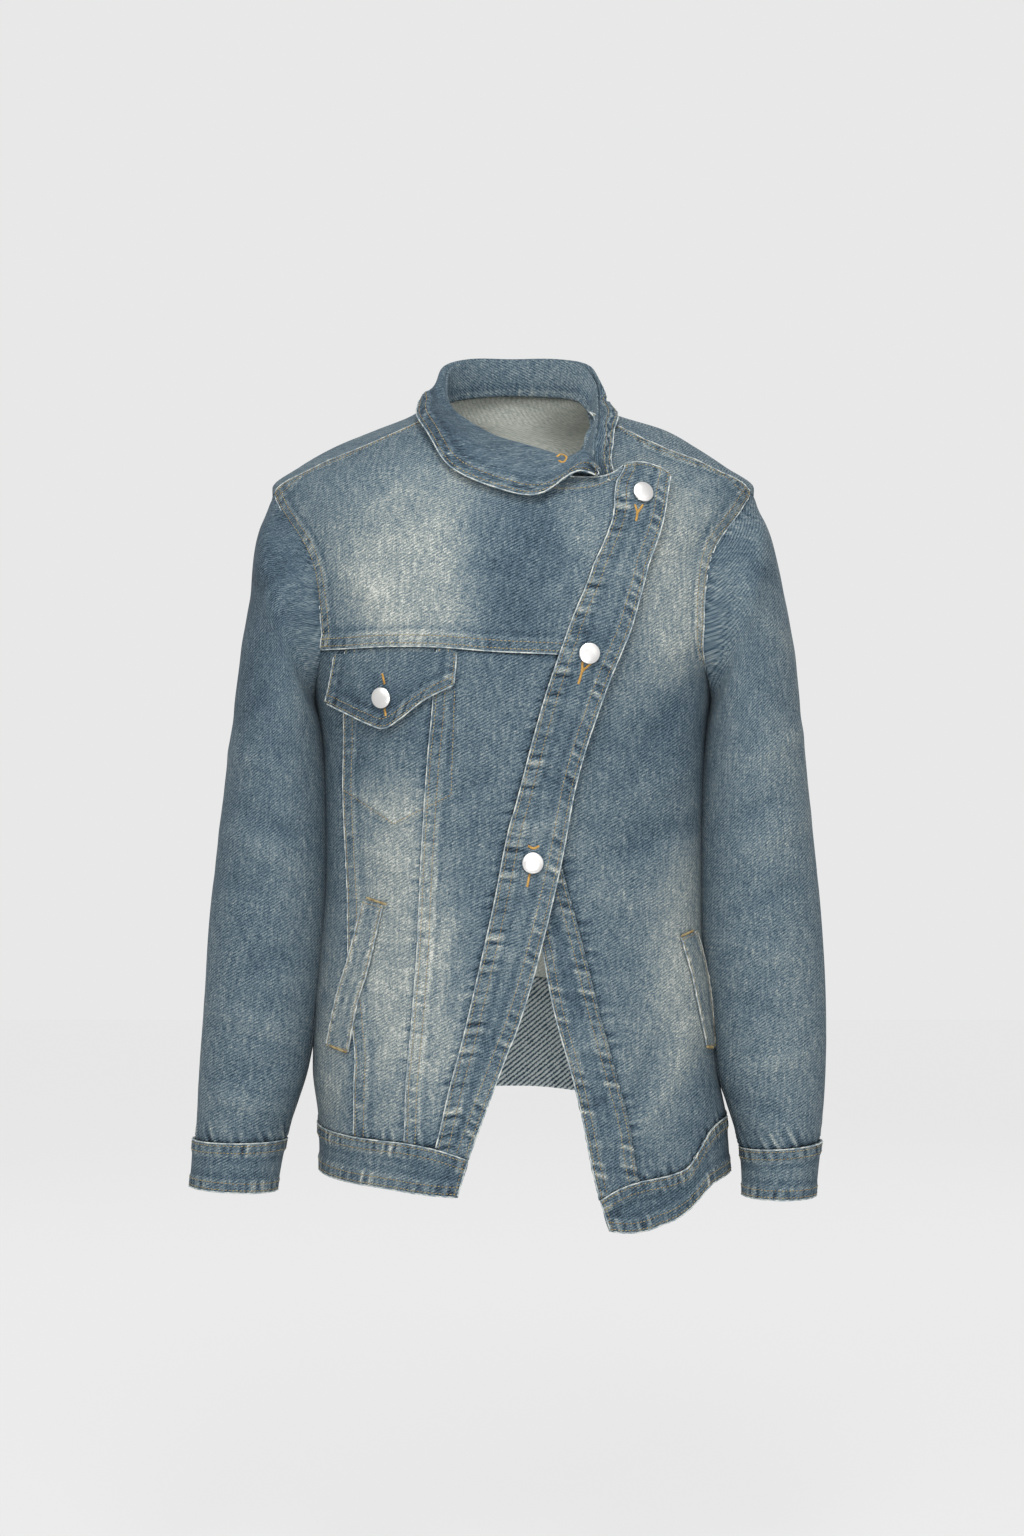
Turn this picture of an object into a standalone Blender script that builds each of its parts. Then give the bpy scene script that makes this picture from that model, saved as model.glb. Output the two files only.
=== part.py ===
"""Denim jacket with a slanted front, worn and filled out, as its separate sewn pieces.

+Z is up, -Y is the front, and the wearer's right is -X. The origin is between the shoulders,
level with the ends of the neck opening. All tables are in millimetres and degrees.
"""
import math

import bmesh
import bpy
import numpy
from mathutils import Vector

MM = 0.001
CLOTH = 1.2
FOLDED_CLOTH = 2.4
COLLAR_CLOTH = 2.0
SEAM_GAP = 0.6
SHOULDER_GAP = 1.2
LAP = 4.5
ARMHOLE_RISE = 1.4
NECK_RISE = 3.0
FOLD_ROOM = 7.0
STAND_ROOM = 2.0
GRID = 24.0
LEAF_LIFT = 8.0
FLAP_LIFT = 3.0
FLAP_GAP = 0.8
WELT_GAP = 0.6
BUTTON_GAP = 0.5
BUTTON_RADIUS = 8.8
BUTTON_HEIGHT = 4.6
BUTTON_STEPS = 16

DENIM = (0.14, 0.19, 0.23)
METAL = (0.78, 0.78, 0.77)

# Level sections of the body. Ridge is how sharply a section turns at the side: 1 is an ellipse.
BODY_SECTIONS = [
    # height, right, left, front, back, ridge
    (40, 44, 46, 26, 60, 1.0),
    (28, 55, 55, 34, 66, 1.1),
    (12, 70, 64, 48, 74, 1.3),
    (0, 84, 88, 62, 80, 1.6),
    (-14, 118, 132, 74, 87, 1.7),
    (-28, 152, 157, 85, 93, 1.7),
    (-45, 182, 183, 96, 99, 1.6),
    (-64, 206, 208, 104, 104, 1.4),
    (-84, 205, 206, 110, 107, 1.2),
    (-120, 196, 196, 117, 110, 1.05),
    (-160, 186, 186, 122, 112, 0.95),
    (-200, 178, 178, 123, 112, 0.9),
    (-240, 170, 171, 121, 110, 0.9),
    (-300, 162, 165, 117, 106, 0.9),
    (-400, 161, 164, 112, 101, 0.9),
    (-440, 164, 164, 112, 101, 0.9),
    (-500, 169, 171, 114, 103, 0.9),
    (-560, 171, 176, 118, 106, 0.9),
    (-605, 166, 184, 121, 109, 0.9),
    (-650, 165, 187, 122, 110, 0.9),
    (-700, 165, 188, 122, 110, 0.9),
]

# Seams on the front, as seen from the front: distance to the wearer's left, height.
SHOULDER_SEAM = [(64, -4), (88, -16), (125, -32), (158, -44), (181, -55), (203, -69)]
RIGHT_NECKLINE = [(-64, -4), (-58, -20), (-47, -34), (-28, -47), (0, -56), (25, -61), (50, -65),
                  (75, -64), (92, -54)]
LEFT_NECKLINE = [(64, -4), (63, -22), (58, -40), (42, -57), (15, -65), (-28, -68)]
YOKE_SEAM = [(-160, -205), (-139, -205), (-100, -204), (-61, -205), (-10, -209), (38, -211)]
OUTER_LONG_SEAM = [(-139, -205), (-141, -300), (-139, -381), (-137, -450), (-133, -515),
                   (-130, -550), (-132, -611)]
INNER_LONG_SEAM = [(-61, -205), (-65, -260), (-68, -291), (-72, -347), (-75, -402), (-78, -465),
                   (-83, -528), (-88, -613)]
RIGHT_BAND_SEAM = [(92, -54), (85, -69), (81, -101), (65, -140), (48, -183), (38, -211),
                   (22, -261), (-1, -347), (-16, -421), (-39, -523), (-51, -569), (-62, -617)]
RIGHT_BAND_EDGE = [(130, -61), (128, -76), (119, -115), (99, -182), (77, -238), (53, -314),
                   (40, -383), (25, -448), (12, -496), (-11, -559), (-35, -625)]
RIGHT_BAND_TOP = [(92, -54), (107, -52), (120, -55), (130, -61)]
LEFT_BAND_SEAM = [(-28, -68), (-24, -110), (-10, -170), (8, -240), (26, -320), (42, -387),
                  (60, -453), (73, -505), (92, -573), (104, -634), (107, -646)]
LEFT_BAND_EDGE = [(-66, -68), (-60, -110), (-46, -170), (-28, -240), (-9, -320), (8, -387),
                  (24, -450), (35, -505), (53, -569), (66, -631), (73, -660)]

# Hem bands: across and height of a point of the seam, and of the lower edge below it.
RIGHT_HEM = [(-153, -609, -154, -648), (-132, -611, -132, -650), (-109, -612, -109, -651),
             (-88, -613, -88, -653), (-62, -617, -66, -655), (-35, -625, -44, -656)]
LEFT_HEM = [(73, -660, 82, -686), (90, -651, 98, -688), (107, -646, 113, -687),
            (120, -644, 126, -683), (133, -642, 138, -679), (147, -637, 149, -672),
            (158, -622, 159, -662), (167, -608, 167, -654), (177, -602, 177, -650)]
RIGHT_SIDE_HEM = (-606, -646)
LEFT_SIDE_HEM = (-602, -647)

# Armhole, as turned angle from the centre front and height, from the shoulder seam down.
ARMHOLE_FRONT = [(77, -69), (66, -96), (60, -122), (59, -150), (60, -180), (63, -206),
                 (74, -229), (90, -240)]
ARMHOLE_BACK = [(77, -69), (88, -66), (104, -79), (116, -100), (122, -125), (124, -152),
                (122, -182), (116, -208), (105, -230), (90, -240)]
# Back neckline between the two shoulder seams.
BACK_NECKLINE = [(66, 6), (90, 14), (116, 20), (145, 25), (180, 28), (215, 25), (242, 19),
                 (270, 10), (294, 4)]
# Back hem band: turned angle, height of the seam, height of the lower edge.
BACK_HEM = [(90, -602, -647), (120, -575, -632), (150, -512, -600), (180, -489, -588),
            (210, -512, -600), (240, -575, -632), (270, -606, -646)]

# Sleeve sections, from the cap to the cuff: its outer and inner ends as seen from the front,
# half its depth and how far forward its middle is.
RIGHT_SLEEVE = [
    # outer x, outer z, inner x, inner z, half depth, forward
    (-215, -99, -176, -252, 68, 2),
    (-224, -160, -170, -272, 64, 3),
    (-234, -228, -167, -300, 61, 4),
    (-241, -285, -165, -332, 58, 5),
    (-250, -362, -165, -385, 54, 7),
    (-258, -435, -168, -450, 50, 9),
    (-262, -503, -174, -505, 46, 11),
    (-266, -560, -183, -560, 43, 13),
    (-268, -604, -191, -604, 40, 15),
    (-269, -621, -194, -621, 38, 15),
]
LEFT_SLEEVE = [
    (215, -92, 178, -252, 68, 2),
    (228, -135, 174, -274, 64, 3),
    (240, -200, 171, -300, 61, 4),
    (247, -262, 169, -332, 58, 5),
    (255, -345, 168, -385, 54, 7),
    (263, -425, 169, -450, 50, 9),
    (267, -495, 177, -505, 46, 11),
    (267, -555, 183, -560, 43, 13),
    (264, -602, 191, -606, 41, 15),
    (261, -622, 196, -628, 40, 15),
]
# Cuff sections in the same columns, from the sleeve seam to the lower edge.
RIGHT_CUFF = [(-271, -622, -194, -622, 39, 15), (-274, -660, -202, -664, 37, 16)]
LEFT_CUFF = [(263, -624, 196, -629, 41, 15), (258, -668, 198, -668, 40, 16)]
SLEEVE_SEAMS = (165.0, 270.0)
SLEEVE_AROUND = 18
SLEEVE_ALONG = 15

# Collar, from the wearer's left end round the back to the right end: turned angle on the
# neckline, the fold as a point, and the leaf's edge as turned angle, height and lift off the body.
COLLAR = [
    # neck angle, fold x, y, z, edge angle, height, lift
    (16, 64, -88, -43, 25, -51, 4),
    (19, 70, -85, -32, 27, -44, 5),
    (26, 73, -60, -12, 36, -20, 6),
    (41, 74, -22, 7, 59, -3, 7),
    (90, 73, 8, 27, 90, 5, 6),
    (116, 62, 34, 46, 122, 5, 7),
    (145, 36, 57, 54, 150, 6, 7),
    (180, 0, 67, 55, 180, 8, 7),
    (215, -34, 57, 54, 212, 6, 7),
    (242, -55, 30, 44, 240, 6, 7),
    (270, -57, 3, 25, 272, 7, 6),
    (316, -54, -23, 8, 303, -4, 8),
    (334, -44, -46, -6, 328, -22, 8),
    (343, -30, -62, -17, 338, -38, 7),
    (351, -10, -75, -29, 346, -61, 6),
    (360, 11, -86, -36, 355, -76, 7),
    (367, 26, -91, -41, 362, -83, 7),
    (371, 40, -94, -46, 366, -84, 7),
]
# The band alone runs on past the leaf: neck angle, top x, y, z.
BAND_END = [(371, 40, -94, -46), (374, 50, -98, -57), (376, 58, -97, -49), (378, 64, -97, -44),
            (380, 70, -96, -50)]

# Pocket flap outline down from its seam: distance to the wearer's left, height.
FLAP_TOP = [(-147, -212), (-95, -211), (-44, -212)]
FLAP_EDGE = [(-153, -249), (-133, -259), (-116, -267), (-103, -271), (-89, -263), (-70, -248),
             (-46, -236)]
WELT_RIGHT = [((-123, -414), (-105, -418)), ((-136, -463), (-119, -475)),
              ((-146, -495), (-127, -500)), ((-155, -538), (-135, -541))]
WELT_LEFT = [((141, -446), (155, -441)), ((149, -475), (163, -470)), ((155, -502), (168, -500)),
             ((163, -540), (172, -542))]
BUTTONS = {"button_top": (108, -76), "button_middle": (63, -210), "button_lower": (17, -382)}
FLAP_BUTTON = (-107, -246)


def slope_between(row, following, column):
    return (following[column] - row[column]) / (following[0] - row[0])


def body_section(height):
    """Half widths, depths and ridge at a height, with no overshoot between the rows."""
    rows = BODY_SECTIONS
    if height >= rows[0][0]:
        return rows[0][1:]
    if height <= rows[-1][0]:
        return rows[-1][1:]
    index = 0
    while rows[index + 1][0] > height:
        index += 1
    row, following = rows[index], rows[index + 1]
    span = following[0] - row[0]
    t = (height - row[0]) / span
    values = []
    for column in range(1, len(row)):
        here = slope_between(row, following, column)
        before = slope_between(rows[index - 1], row, column) if index > 0 else here
        after = here
        if index + 2 < len(rows):
            after = slope_between(following, rows[index + 2], column)
        start = 0.0 if before * here <= 0 else 2 * before * here / (before + here)
        end = 0.0 if after * here <= 0 else 2 * after * here / (after + here)
        values.append((2 * t ** 3 - 3 * t ** 2 + 1) * row[column]
                      + (t ** 3 - 2 * t ** 2 + t) * span * start
                      + (3 * t ** 2 - 2 * t ** 3) * following[column]
                      + (t ** 3 - t ** 2) * span * end)
    return values


def on_body(angle, height):
    """Point of the body's outer face, in mm, at an angle turned from the front to the left."""
    right, left, front, back, ridge = body_section(height)
    turn = math.radians(angle)
    across, ahead = math.sin(turn), math.cos(turn)
    width = left if across >= 0 else right
    depth = front if ahead >= 0 else back
    x = width * math.copysign(abs(across) ** min(1.0, ridge), across)
    y = -depth * math.copysign(abs(ahead) ** ridge, ahead)
    return Vector((x, y, height))


def body_point(angle, height, lift=0.0):
    """Point lifted off the body's face along its outward normal."""
    point = on_body(angle, height)
    if lift == 0.0:
        return point
    along = on_body(angle + 0.5, height) - on_body(angle - 0.5, height)
    down = on_body(angle, height - 1.0) - on_body(angle, height + 1.0)
    return point + down.cross(along).normalized() * lift


def front_angle(x, height):
    """Turned angle of the point of the front that is x to the wearer's left."""
    right, left, _, _, ridge = body_section(height)
    width = left if x >= 0 else right
    share = min(1.0, abs(x) / width) ** (1.0 / min(1.0, ridge))
    return math.copysign(math.degrees(math.asin(share)), x)


def front_line(points):
    return [(front_angle(x, height), height) for x, height in points]


def line_at(points, t):
    """Point at a share t of a smooth line through the points."""
    if t <= 0.0:
        return tuple(points[0])
    if t >= 1.0:
        return tuple(points[-1])
    lengths = [0.0]
    for start, end in zip(points, points[1:]):
        lengths.append(lengths[-1] + math.dist(start, end))
    target = t * lengths[-1]
    index = 0
    while lengths[index + 1] < target:
        index += 1
    span = lengths[index + 1] - lengths[index]
    s = (target - lengths[index]) / span
    first, last = points[index], points[index + 1]
    result = []
    for axis in range(len(first)):
        start = end = (last[axis] - first[axis]) / span
        if index > 0:
            start = (last[axis] - points[index - 1][axis]) / (lengths[index + 1] - lengths[index - 1])
        if index + 2 < len(points):
            end = (points[index + 2][axis] - first[axis]) / (lengths[index + 2] - lengths[index])
        result.append((2 * s ** 3 - 3 * s ** 2 + 1) * first[axis]
                      + (s ** 3 - 2 * s ** 2 + s) * span * start
                      + (3 * s ** 2 - 2 * s ** 3) * last[axis]
                      + (s ** 3 - s ** 2) * span * end)
    return tuple(result)


def joined(*lines, count=40):
    """Several smooth lines end to end, which keep the corners between them."""
    points = []
    for line in lines:
        samples = [line_at(line, index / count) for index in range(count + 1)]
        points += samples[1:] if points else samples
    return points


def smooth_step(low, high, value):
    t = min(1.0, max(0.0, (value - low) / (high - low)))
    return t * t * (3 - 2 * t)


def right_lift(angle, height):
    """The right front rides up over the left one towards the middle, below the shoulder seam."""
    return LAP * smooth_step(-58, -12, angle) * smooth_step(20, 50, -height)


def left_lift(angle, height):
    """The left front lies deeper where the right one covers it."""
    return -LAP * (1 - smooth_step(34, 66, angle)) * smooth_step(20, 50, -height)


def no_lift(angle, height):
    return 0.0


def material(name, colour, roughness, metallic=0.0):
    result = bpy.data.materials.new(name)
    result.use_nodes = True
    shader = result.node_tree.nodes["Principled BSDF"]
    shader.inputs["Base Color"].default_value = (*colour, 1.0)
    shader.inputs["Roughness"].default_value = roughness
    shader.inputs["Metallic"].default_value = metallic
    return result


def add_piece(name, mesh, thickness=None):
    """Link a mesh as one piece; a thickness turns an open sheet into a wall, inwards."""
    piece = bpy.data.objects.new(name, mesh)
    jacket.objects.link(piece)
    colour, roughness, metallic = (METAL, 0.35, 1.0) if name.startswith("button") else (DENIM, 0.85, 0.0)
    mesh.materials.append(material(name, colour, roughness, metallic))
    if thickness:
        wall = piece.modifiers.new("wall", "SOLIDIFY")
        wall.thickness = thickness * MM
        wall.offset = -1.0
        wall.use_even_offset = False
    return piece


def sheet(name, place, columns, rows, thickness=CLOTH, closed=False):
    """A grid whose corners are u = v = 0 at the top left, each point moved by place(u, v)."""
    form = bmesh.new()
    bmesh.ops.create_grid(form, x_segments=columns, y_segments=rows, size=1.0)
    for vertex in form.verts:
        u, v = (vertex.co.x + 1) / 2, (1 - vertex.co.y) / 2
        vertex.co = Vector(place(u, v)) * MM
    if closed:
        bmesh.ops.remove_doubles(form, verts=form.verts, dist=0.00002)
    mesh = bpy.data.meshes.new(name)
    form.to_mesh(mesh)
    form.free()
    mesh.shade_smooth()
    return add_piece(name, mesh, thickness)


def patch(top, bottom, left, right, lift, fades, gap):
    """Function of u and v that fills four border lines, given on the body.

    Each fade says how fast a border's bends die out inwards: top, bottom, left and right.
    """
    wide = math.dist(body_point(*line_at(left, 0.5)), body_point(*line_at(right, 0.5)))
    high = math.dist(body_point(*line_at(top, 0.5)), body_point(*line_at(bottom, 0.5)))

    def bend(line, t, axis):
        return line_at(line, t)[axis] - (1 - t) * line[0][axis] - t * line[-1][axis]

    def place(u, v):
        u = gap / wide + u * (1 - 2 * gap / wide)
        v = gap / high + v * (1 - 2 * gap / high)
        point = []
        for axis in (0, 1):
            corners = ((1 - u) * (1 - v) * top[0][axis] + u * (1 - v) * top[-1][axis]
                       + (1 - u) * v * bottom[0][axis] + u * v * bottom[-1][axis])
            point.append(corners + (1 - v) ** fades[0] * bend(top, u, axis)
                         + v ** fades[1] * bend(bottom, u, axis)
                         + (1 - u) ** fades[2] * bend(left, v, axis)
                         + u ** fades[3] * bend(right, v, axis))
        angle, height = point
        return body_point(angle, height, lift(angle, height))
    return place


def stretch(line, start, end, axis, count=10):
    """The stretch of a line between two values of one of its coordinates."""
    fine = [line_at(line, index / 300) for index in range(301)]
    result = []
    for index in range(count + 1):
        value = start + (end - start) * index / count
        result.append(min(fine, key=lambda point: abs(point[axis] - value)))
    return result


def grid_counts(top, bottom, left, right):
    wide = max(math.dist(body_point(*line_at(left, t)), body_point(*line_at(right, t)))
               for t in (0.1, 0.5, 0.9))
    high = max(math.dist(body_point(*line_at(top, t)), body_point(*line_at(bottom, t)))
               for t in (0.1, 0.5, 0.9))
    return max(2, round(wide / GRID)), max(2, round(high / GRID))


def panel(name, top, bottom, left, right, lift=no_lift, thickness=CLOTH, counts=None,
          fades=(1, 1, 1, 1), crowd=1.0, gap=SEAM_GAP):
    """A sewn piece of the body between four seam lines, each (turned angle, height)."""
    columns, rows = counts or grid_counts(top, bottom, left, right)
    place = patch(top, bottom, left, right, lift, fades, gap)
    return sheet(name, lambda u, v: place(u, v ** crowd), columns, rows, thickness)


def make_body():
    shoulder_right = front_line([(-x, height) for x, height in SHOULDER_SEAM])
    shoulder_left = front_line(SHOULDER_SEAM)
    armhole_right = [(-angle, height) for angle, height in ARMHOLE_FRONT]
    armhole_left = list(ARMHOLE_FRONT)
    yoke = front_line(YOKE_SEAM)
    outer_seam, inner_seam = front_line(OUTER_LONG_SEAM), front_line(INNER_LONG_SEAM)
    band_seam, band_edge = front_line(RIGHT_BAND_SEAM), front_line(RIGHT_BAND_EDGE)
    hem_right = [(-90, RIGHT_SIDE_HEM[0])] + front_line([row[:2] for row in RIGHT_HEM])
    low_right = [(-90, RIGHT_SIDE_HEM[1])] + front_line([row[2:] for row in RIGHT_HEM])
    side_right = [(-90, ARMHOLE_FRONT[-1][1]), (-90, RIGHT_SIDE_HEM[0])]

    yoke_end = yoke[0]
    armhole_above = stretch(armhole_right, armhole_right[0][1], yoke_end[1], 1)[:-1] + [yoke_end]
    armhole_below = [yoke_end] + armhole_right[-2:]
    panel("yoke_front_right", joined(shoulder_right[::-1], front_line(RIGHT_NECKLINE)), yoke,
          armhole_above, stretch(band_seam, band_seam[0][1], yoke[-1][1], 1), right_lift,
          counts=(16, 8), fades=(2, 1, 3, 1))
    panel("front_right_side", yoke[:2], hem_right[:3], joined(armhole_below, side_right),
          outer_seam, right_lift)
    panel("front_right_middle", yoke[1:4], hem_right[2:5], outer_seam, inner_seam, right_lift)
    panel("front_right_centre", yoke[3:], hem_right[4:6], inner_seam,
          stretch(band_seam, yoke[-1][1], band_seam[-1][1], 1), right_lift)
    panel("placket_right", front_line(RIGHT_BAND_TOP), hem_right[5:], band_seam, band_edge,
          right_lift, FOLDED_CLOTH)
    panel("waistband_front_right", hem_right, low_right, [hem_right[0], low_right[0]],
          [hem_right[-1], low_right[-1]], right_lift, FOLDED_CLOTH)

    left_seam, left_edge = front_line(LEFT_BAND_SEAM), front_line(LEFT_BAND_EDGE)
    hem_left = front_line([row[:2] for row in LEFT_HEM]) + [(90, LEFT_SIDE_HEM[0])]
    low_left = front_line([row[2:] for row in LEFT_HEM]) + [(90, LEFT_SIDE_HEM[1])]
    side_left = [(90, ARMHOLE_FRONT[-1][1]), (90, LEFT_SIDE_HEM[0])]
    panel("front_left", joined(front_line(LEFT_NECKLINE)[::-1], shoulder_left), hem_left[2:],
          left_seam, joined(armhole_left, side_left), left_lift, counts=(12, 22),
          fades=(2, 1, 1, 3))
    panel("placket_left", [left_edge[0], left_seam[0]], hem_left[:3], left_edge, left_seam,
          left_lift, FOLDED_CLOTH)
    panel("waistband_front_left", hem_left, low_left, [hem_left[0], low_left[0]],
          [hem_left[-1], low_left[-1]], left_lift, FOLDED_CLOTH, counts=(16, 1))

    back_hem = [row[:2] for row in BACK_HEM]
    back_low = [(row[0], row[2]) for row in BACK_HEM]
    armhole_back_right = [(360 - angle, height) for angle, height in ARMHOLE_BACK]
    shoulder_right_back = [(360 + angle, height) for angle, height in shoulder_right]
    panel("back", [shoulder_left[0]] + BACK_NECKLINE + [shoulder_right_back[0]], back_hem,
          joined(shoulder_left, ARMHOLE_BACK, side_left),
          joined(shoulder_right_back, armhole_back_right,
                 [(270, ARMHOLE_BACK[-1][1]), (270, RIGHT_SIDE_HEM[0])]),
          counts=(24, 22), fades=(2, 2, 1, 1), crowd=1.4, gap=SHOULDER_GAP)
    panel("waistband_back", back_hem, back_low, [back_hem[0], back_low[0]],
          [back_hem[-1], back_low[-1]], thickness=FOLDED_CLOTH, counts=(24, 2))


def make_pockets():
    flap_top, flap_edge = front_line(FLAP_TOP), front_line(FLAP_EDGE)

    def flap_lift(angle, height):
        fall = smooth_step(FLAP_TOP[0][1], FLAP_EDGE[3][1], height)
        return right_lift(angle, height) + CLOTH + FLAP_GAP + FLAP_LIFT * fall

    panel("pocket_flap", flap_top, flap_edge, [flap_top[0], flap_edge[0]],
          [flap_top[-1], flap_edge[-1]], flap_lift, counts=(12, 4))

    def welt(name, rows, lift):
        outer, inner = front_line([row[0] for row in rows]), front_line([row[1] for row in rows])

        def raised(angle, height):
            return lift(angle, height) + CLOTH + WELT_GAP
        panel(name, [outer[0], inner[0]], [outer[-1], inner[-1]], outer, inner, raised,
              counts=(2, 8))
    welt("welt_right", WELT_RIGHT, right_lift)
    welt("welt_left", WELT_LEFT, left_lift)


def make_sleeve(side, sections, cuff_sections, name):
    """Top and under sleeve lofted from the armhole down to the cuff, and the cuff."""
    def ring_point(row, around):
        outer_x, outer_z, inner_x, inner_z, depth, forward = row
        turn = math.radians(around)
        swing, front = math.cos(turn), math.sin(turn)
        return ((outer_x + inner_x) / 2 + (outer_x - inner_x) / 2 * swing,
                -forward - depth * front,
                (outer_z + inner_z) / 2 + (outer_z - inner_z) / 2 * swing)

    def armhole_point(around):
        line = ARMHOLE_FRONT if around <= 180 else ARMHOLE_BACK
        share = around / 180 if around <= 180 else (360 - around) / 180
        angle, height = line_at(line, share)
        return tuple(body_point(side * angle, height, CLOTH + ARMHOLE_RISE))

    def surface(around, along):
        around = around % 360
        stations = [armhole_point(around)] + [ring_point(row, around) for row in sections]
        return line_at(stations, along)

    def strip(piece_name, start, end, columns):
        def place(u, v):
            gap = 0.25
            share = u if side > 0 else 1 - u
            return surface(start + gap + (end - start - 2 * gap) * share, v)
        sheet(piece_name, place, columns, SLEEVE_ALONG)

    front_seam, back_seam = SLEEVE_SEAMS
    strip(name + "_top", back_seam - 360, front_seam, round(SLEEVE_AROUND * 0.7))
    strip(name + "_under", front_seam, back_seam, round(SLEEVE_AROUND * 0.3))

    def cuff_place(u, v):
        around = 360 * (u if side > 0 else 1 - u)
        return line_at([ring_point(row, around) for row in cuff_sections], v)
    sheet(name.replace("sleeve", "cuff"), cuff_place, SLEEVE_AROUND, 2, FOLDED_CLOTH, closed=True)


def lap_lift(angle, height):
    """Lift of the neckline at a turned angle, where one front laps over the other."""
    if angle > 270:
        return right_lift(angle - 360, height)
    return left_lift(angle, height) if angle < 90 else 0.0


def neck_line():
    """The whole neckline, with the turned angle always growing from left end to right end."""
    left = front_line(LEFT_NECKLINE)
    right = [(360 + angle, height) for angle, height in front_line(RIGHT_NECKLINE)]
    return joined(left[::-1], [left[0]] + BACK_NECKLINE + [right[0]], right)


def make_collar():
    neckline = neck_line()
    angles, heights = [row[0] for row in neckline], [row[1] for row in neckline]
    stand_rows = [row[:4] for row in COLLAR] + BAND_END[1:]

    def neck_point(angle, lift=0.0):
        height = float(numpy.interp(angle, angles, heights))
        return body_point(angle, height, lap_lift(angle, height) + lift)

    def stand(u, v):
        row = line_at(stand_rows, u)
        neck, top = neck_point(row[0]), Vector(row[1:4])
        outward = neck_point(row[0], 1.0) - neck
        top -= Vector((outward.x, outward.y, 0.0)).normalized() * STAND_ROOM
        reach = (top - neck).length
        return neck.lerp(top, (NECK_RISE + v * (reach - NECK_RISE - FOLD_ROOM)) / reach)

    def leaf(u, v):
        row = line_at(COLLAR, u)
        neck, raised, fold = neck_point(row[0]), neck_point(row[0], LEAF_LIFT), Vector(row[1:4])
        edge = body_point(row[4], row[5], lap_lift(row[4], row[5]) + row[6])
        away = Vector((edge.x - fold.x, edge.y - fold.y, 0.0)).normalized()
        crest = fold + away * 6.5 + Vector((0, 0, 1.5))
        middle = fold.lerp(edge, 0.55)
        outward = (raised - neck).normalized()
        middle += outward * max(0.0, (raised - middle).dot(outward))
        return line_at([tuple(fold), tuple(crest), tuple(middle), tuple(edge)], v ** 1.6)

    sheet("collar_stand", lambda u, v: stand(u, 1 - v), 36, 1, COLLAR_CLOTH)
    sheet("collar_leaf", leaf, 32, 4, COLLAR_CLOTH)


def make_button(name, x, height, lift):
    """A turned shank button; its profile runs down the outer side from the dome to the foot."""
    profile = [(0.0, BUTTON_HEIGHT), (0.55, 0.95 * BUTTON_HEIGHT), (0.88, 0.76 * BUTTON_HEIGHT),
               (1.0, 0.6 * BUTTON_HEIGHT), (0.92, 0.46 * BUTTON_HEIGHT),
               (0.38, 0.42 * BUTTON_HEIGHT), (0.36, 0.0), (0.0, 0.0)]
    form = bmesh.new()
    points = [form.verts.new((radius * BUTTON_RADIUS * MM, 0.0, up * MM)) for radius, up in profile]
    for start, end in zip(points, points[1:]):
        form.edges.new((start, end))
    mesh = bpy.data.meshes.new(name)
    form.to_mesh(mesh)
    form.free()
    button = add_piece(name, mesh)
    angle = front_angle(x, height)
    base = body_point(angle, height, lift)
    outward = body_point(angle, height, lift + 1.0) - base
    button.location = base * MM
    button.rotation_euler = outward.to_track_quat("Z", "Y").to_euler()
    turn = button.modifiers.new("turn", "SCREW")
    turn.steps = BUTTON_STEPS
    turn.render_steps = BUTTON_STEPS
    turn.use_merge_vertices = True
    turn.merge_threshold = 0.00001


def make_buttons():
    for name, (x, height) in BUTTONS.items():
        make_button(name, x, height, LAP + BUTTON_GAP)
    fall = smooth_step(FLAP_TOP[0][1], FLAP_EDGE[3][1], FLAP_BUTTON[1])
    lift = (right_lift(front_angle(*FLAP_BUTTON), FLAP_BUTTON[1]) + CLOTH + FLAP_GAP + BUTTON_GAP
            + FLAP_LIFT * fall)
    make_button("button_flap", *FLAP_BUTTON, lift)


for old in list(bpy.data.objects):
    bpy.data.objects.remove(old)
jacket = bpy.data.collections.new("denim_jacket")
bpy.context.scene.collection.children.link(jacket)
make_body()
make_pockets()
make_sleeve(-1, RIGHT_SLEEVE, RIGHT_CUFF, "sleeve_right")
make_sleeve(1, LEFT_SLEEVE, LEFT_CUFF, "sleeve_left")
make_collar()
make_buttons()
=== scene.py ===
"""Looks of a washed denim jacket whose right front laps over the left along a slanted band.

+Z is up, -Y is the front, and the wearer's right is -X. The origin is between the shoulders,
level with the ends of the neck opening. Tables are in millimetres and degrees.
"""

import math
import random
from types import SimpleNamespace

import bmesh
import bpy
import numpy as np
from mathutils import Matrix, Vector


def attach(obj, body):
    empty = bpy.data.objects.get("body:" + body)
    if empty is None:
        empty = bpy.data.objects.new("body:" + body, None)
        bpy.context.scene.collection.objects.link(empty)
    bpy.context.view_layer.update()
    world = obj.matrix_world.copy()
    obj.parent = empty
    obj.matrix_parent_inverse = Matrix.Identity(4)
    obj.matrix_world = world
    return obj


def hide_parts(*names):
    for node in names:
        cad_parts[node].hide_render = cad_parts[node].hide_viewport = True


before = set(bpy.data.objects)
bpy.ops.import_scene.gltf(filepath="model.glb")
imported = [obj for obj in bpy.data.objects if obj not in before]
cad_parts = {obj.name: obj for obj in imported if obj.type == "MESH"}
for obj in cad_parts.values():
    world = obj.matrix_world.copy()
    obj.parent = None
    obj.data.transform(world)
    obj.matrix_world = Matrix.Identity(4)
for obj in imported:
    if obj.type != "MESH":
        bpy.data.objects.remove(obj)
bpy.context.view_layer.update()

# ---------------------------------------------------------------------------------------------
# Back: one plain panel of 12 oz cotton twill denim, washed until the indigo has faded, cut in one
# from the neck and the shoulder seams down to the hem band. Its wrong side shows inside the neck.
# ---------------------------------------------------------------------------------------------
MM = 0.001
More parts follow.
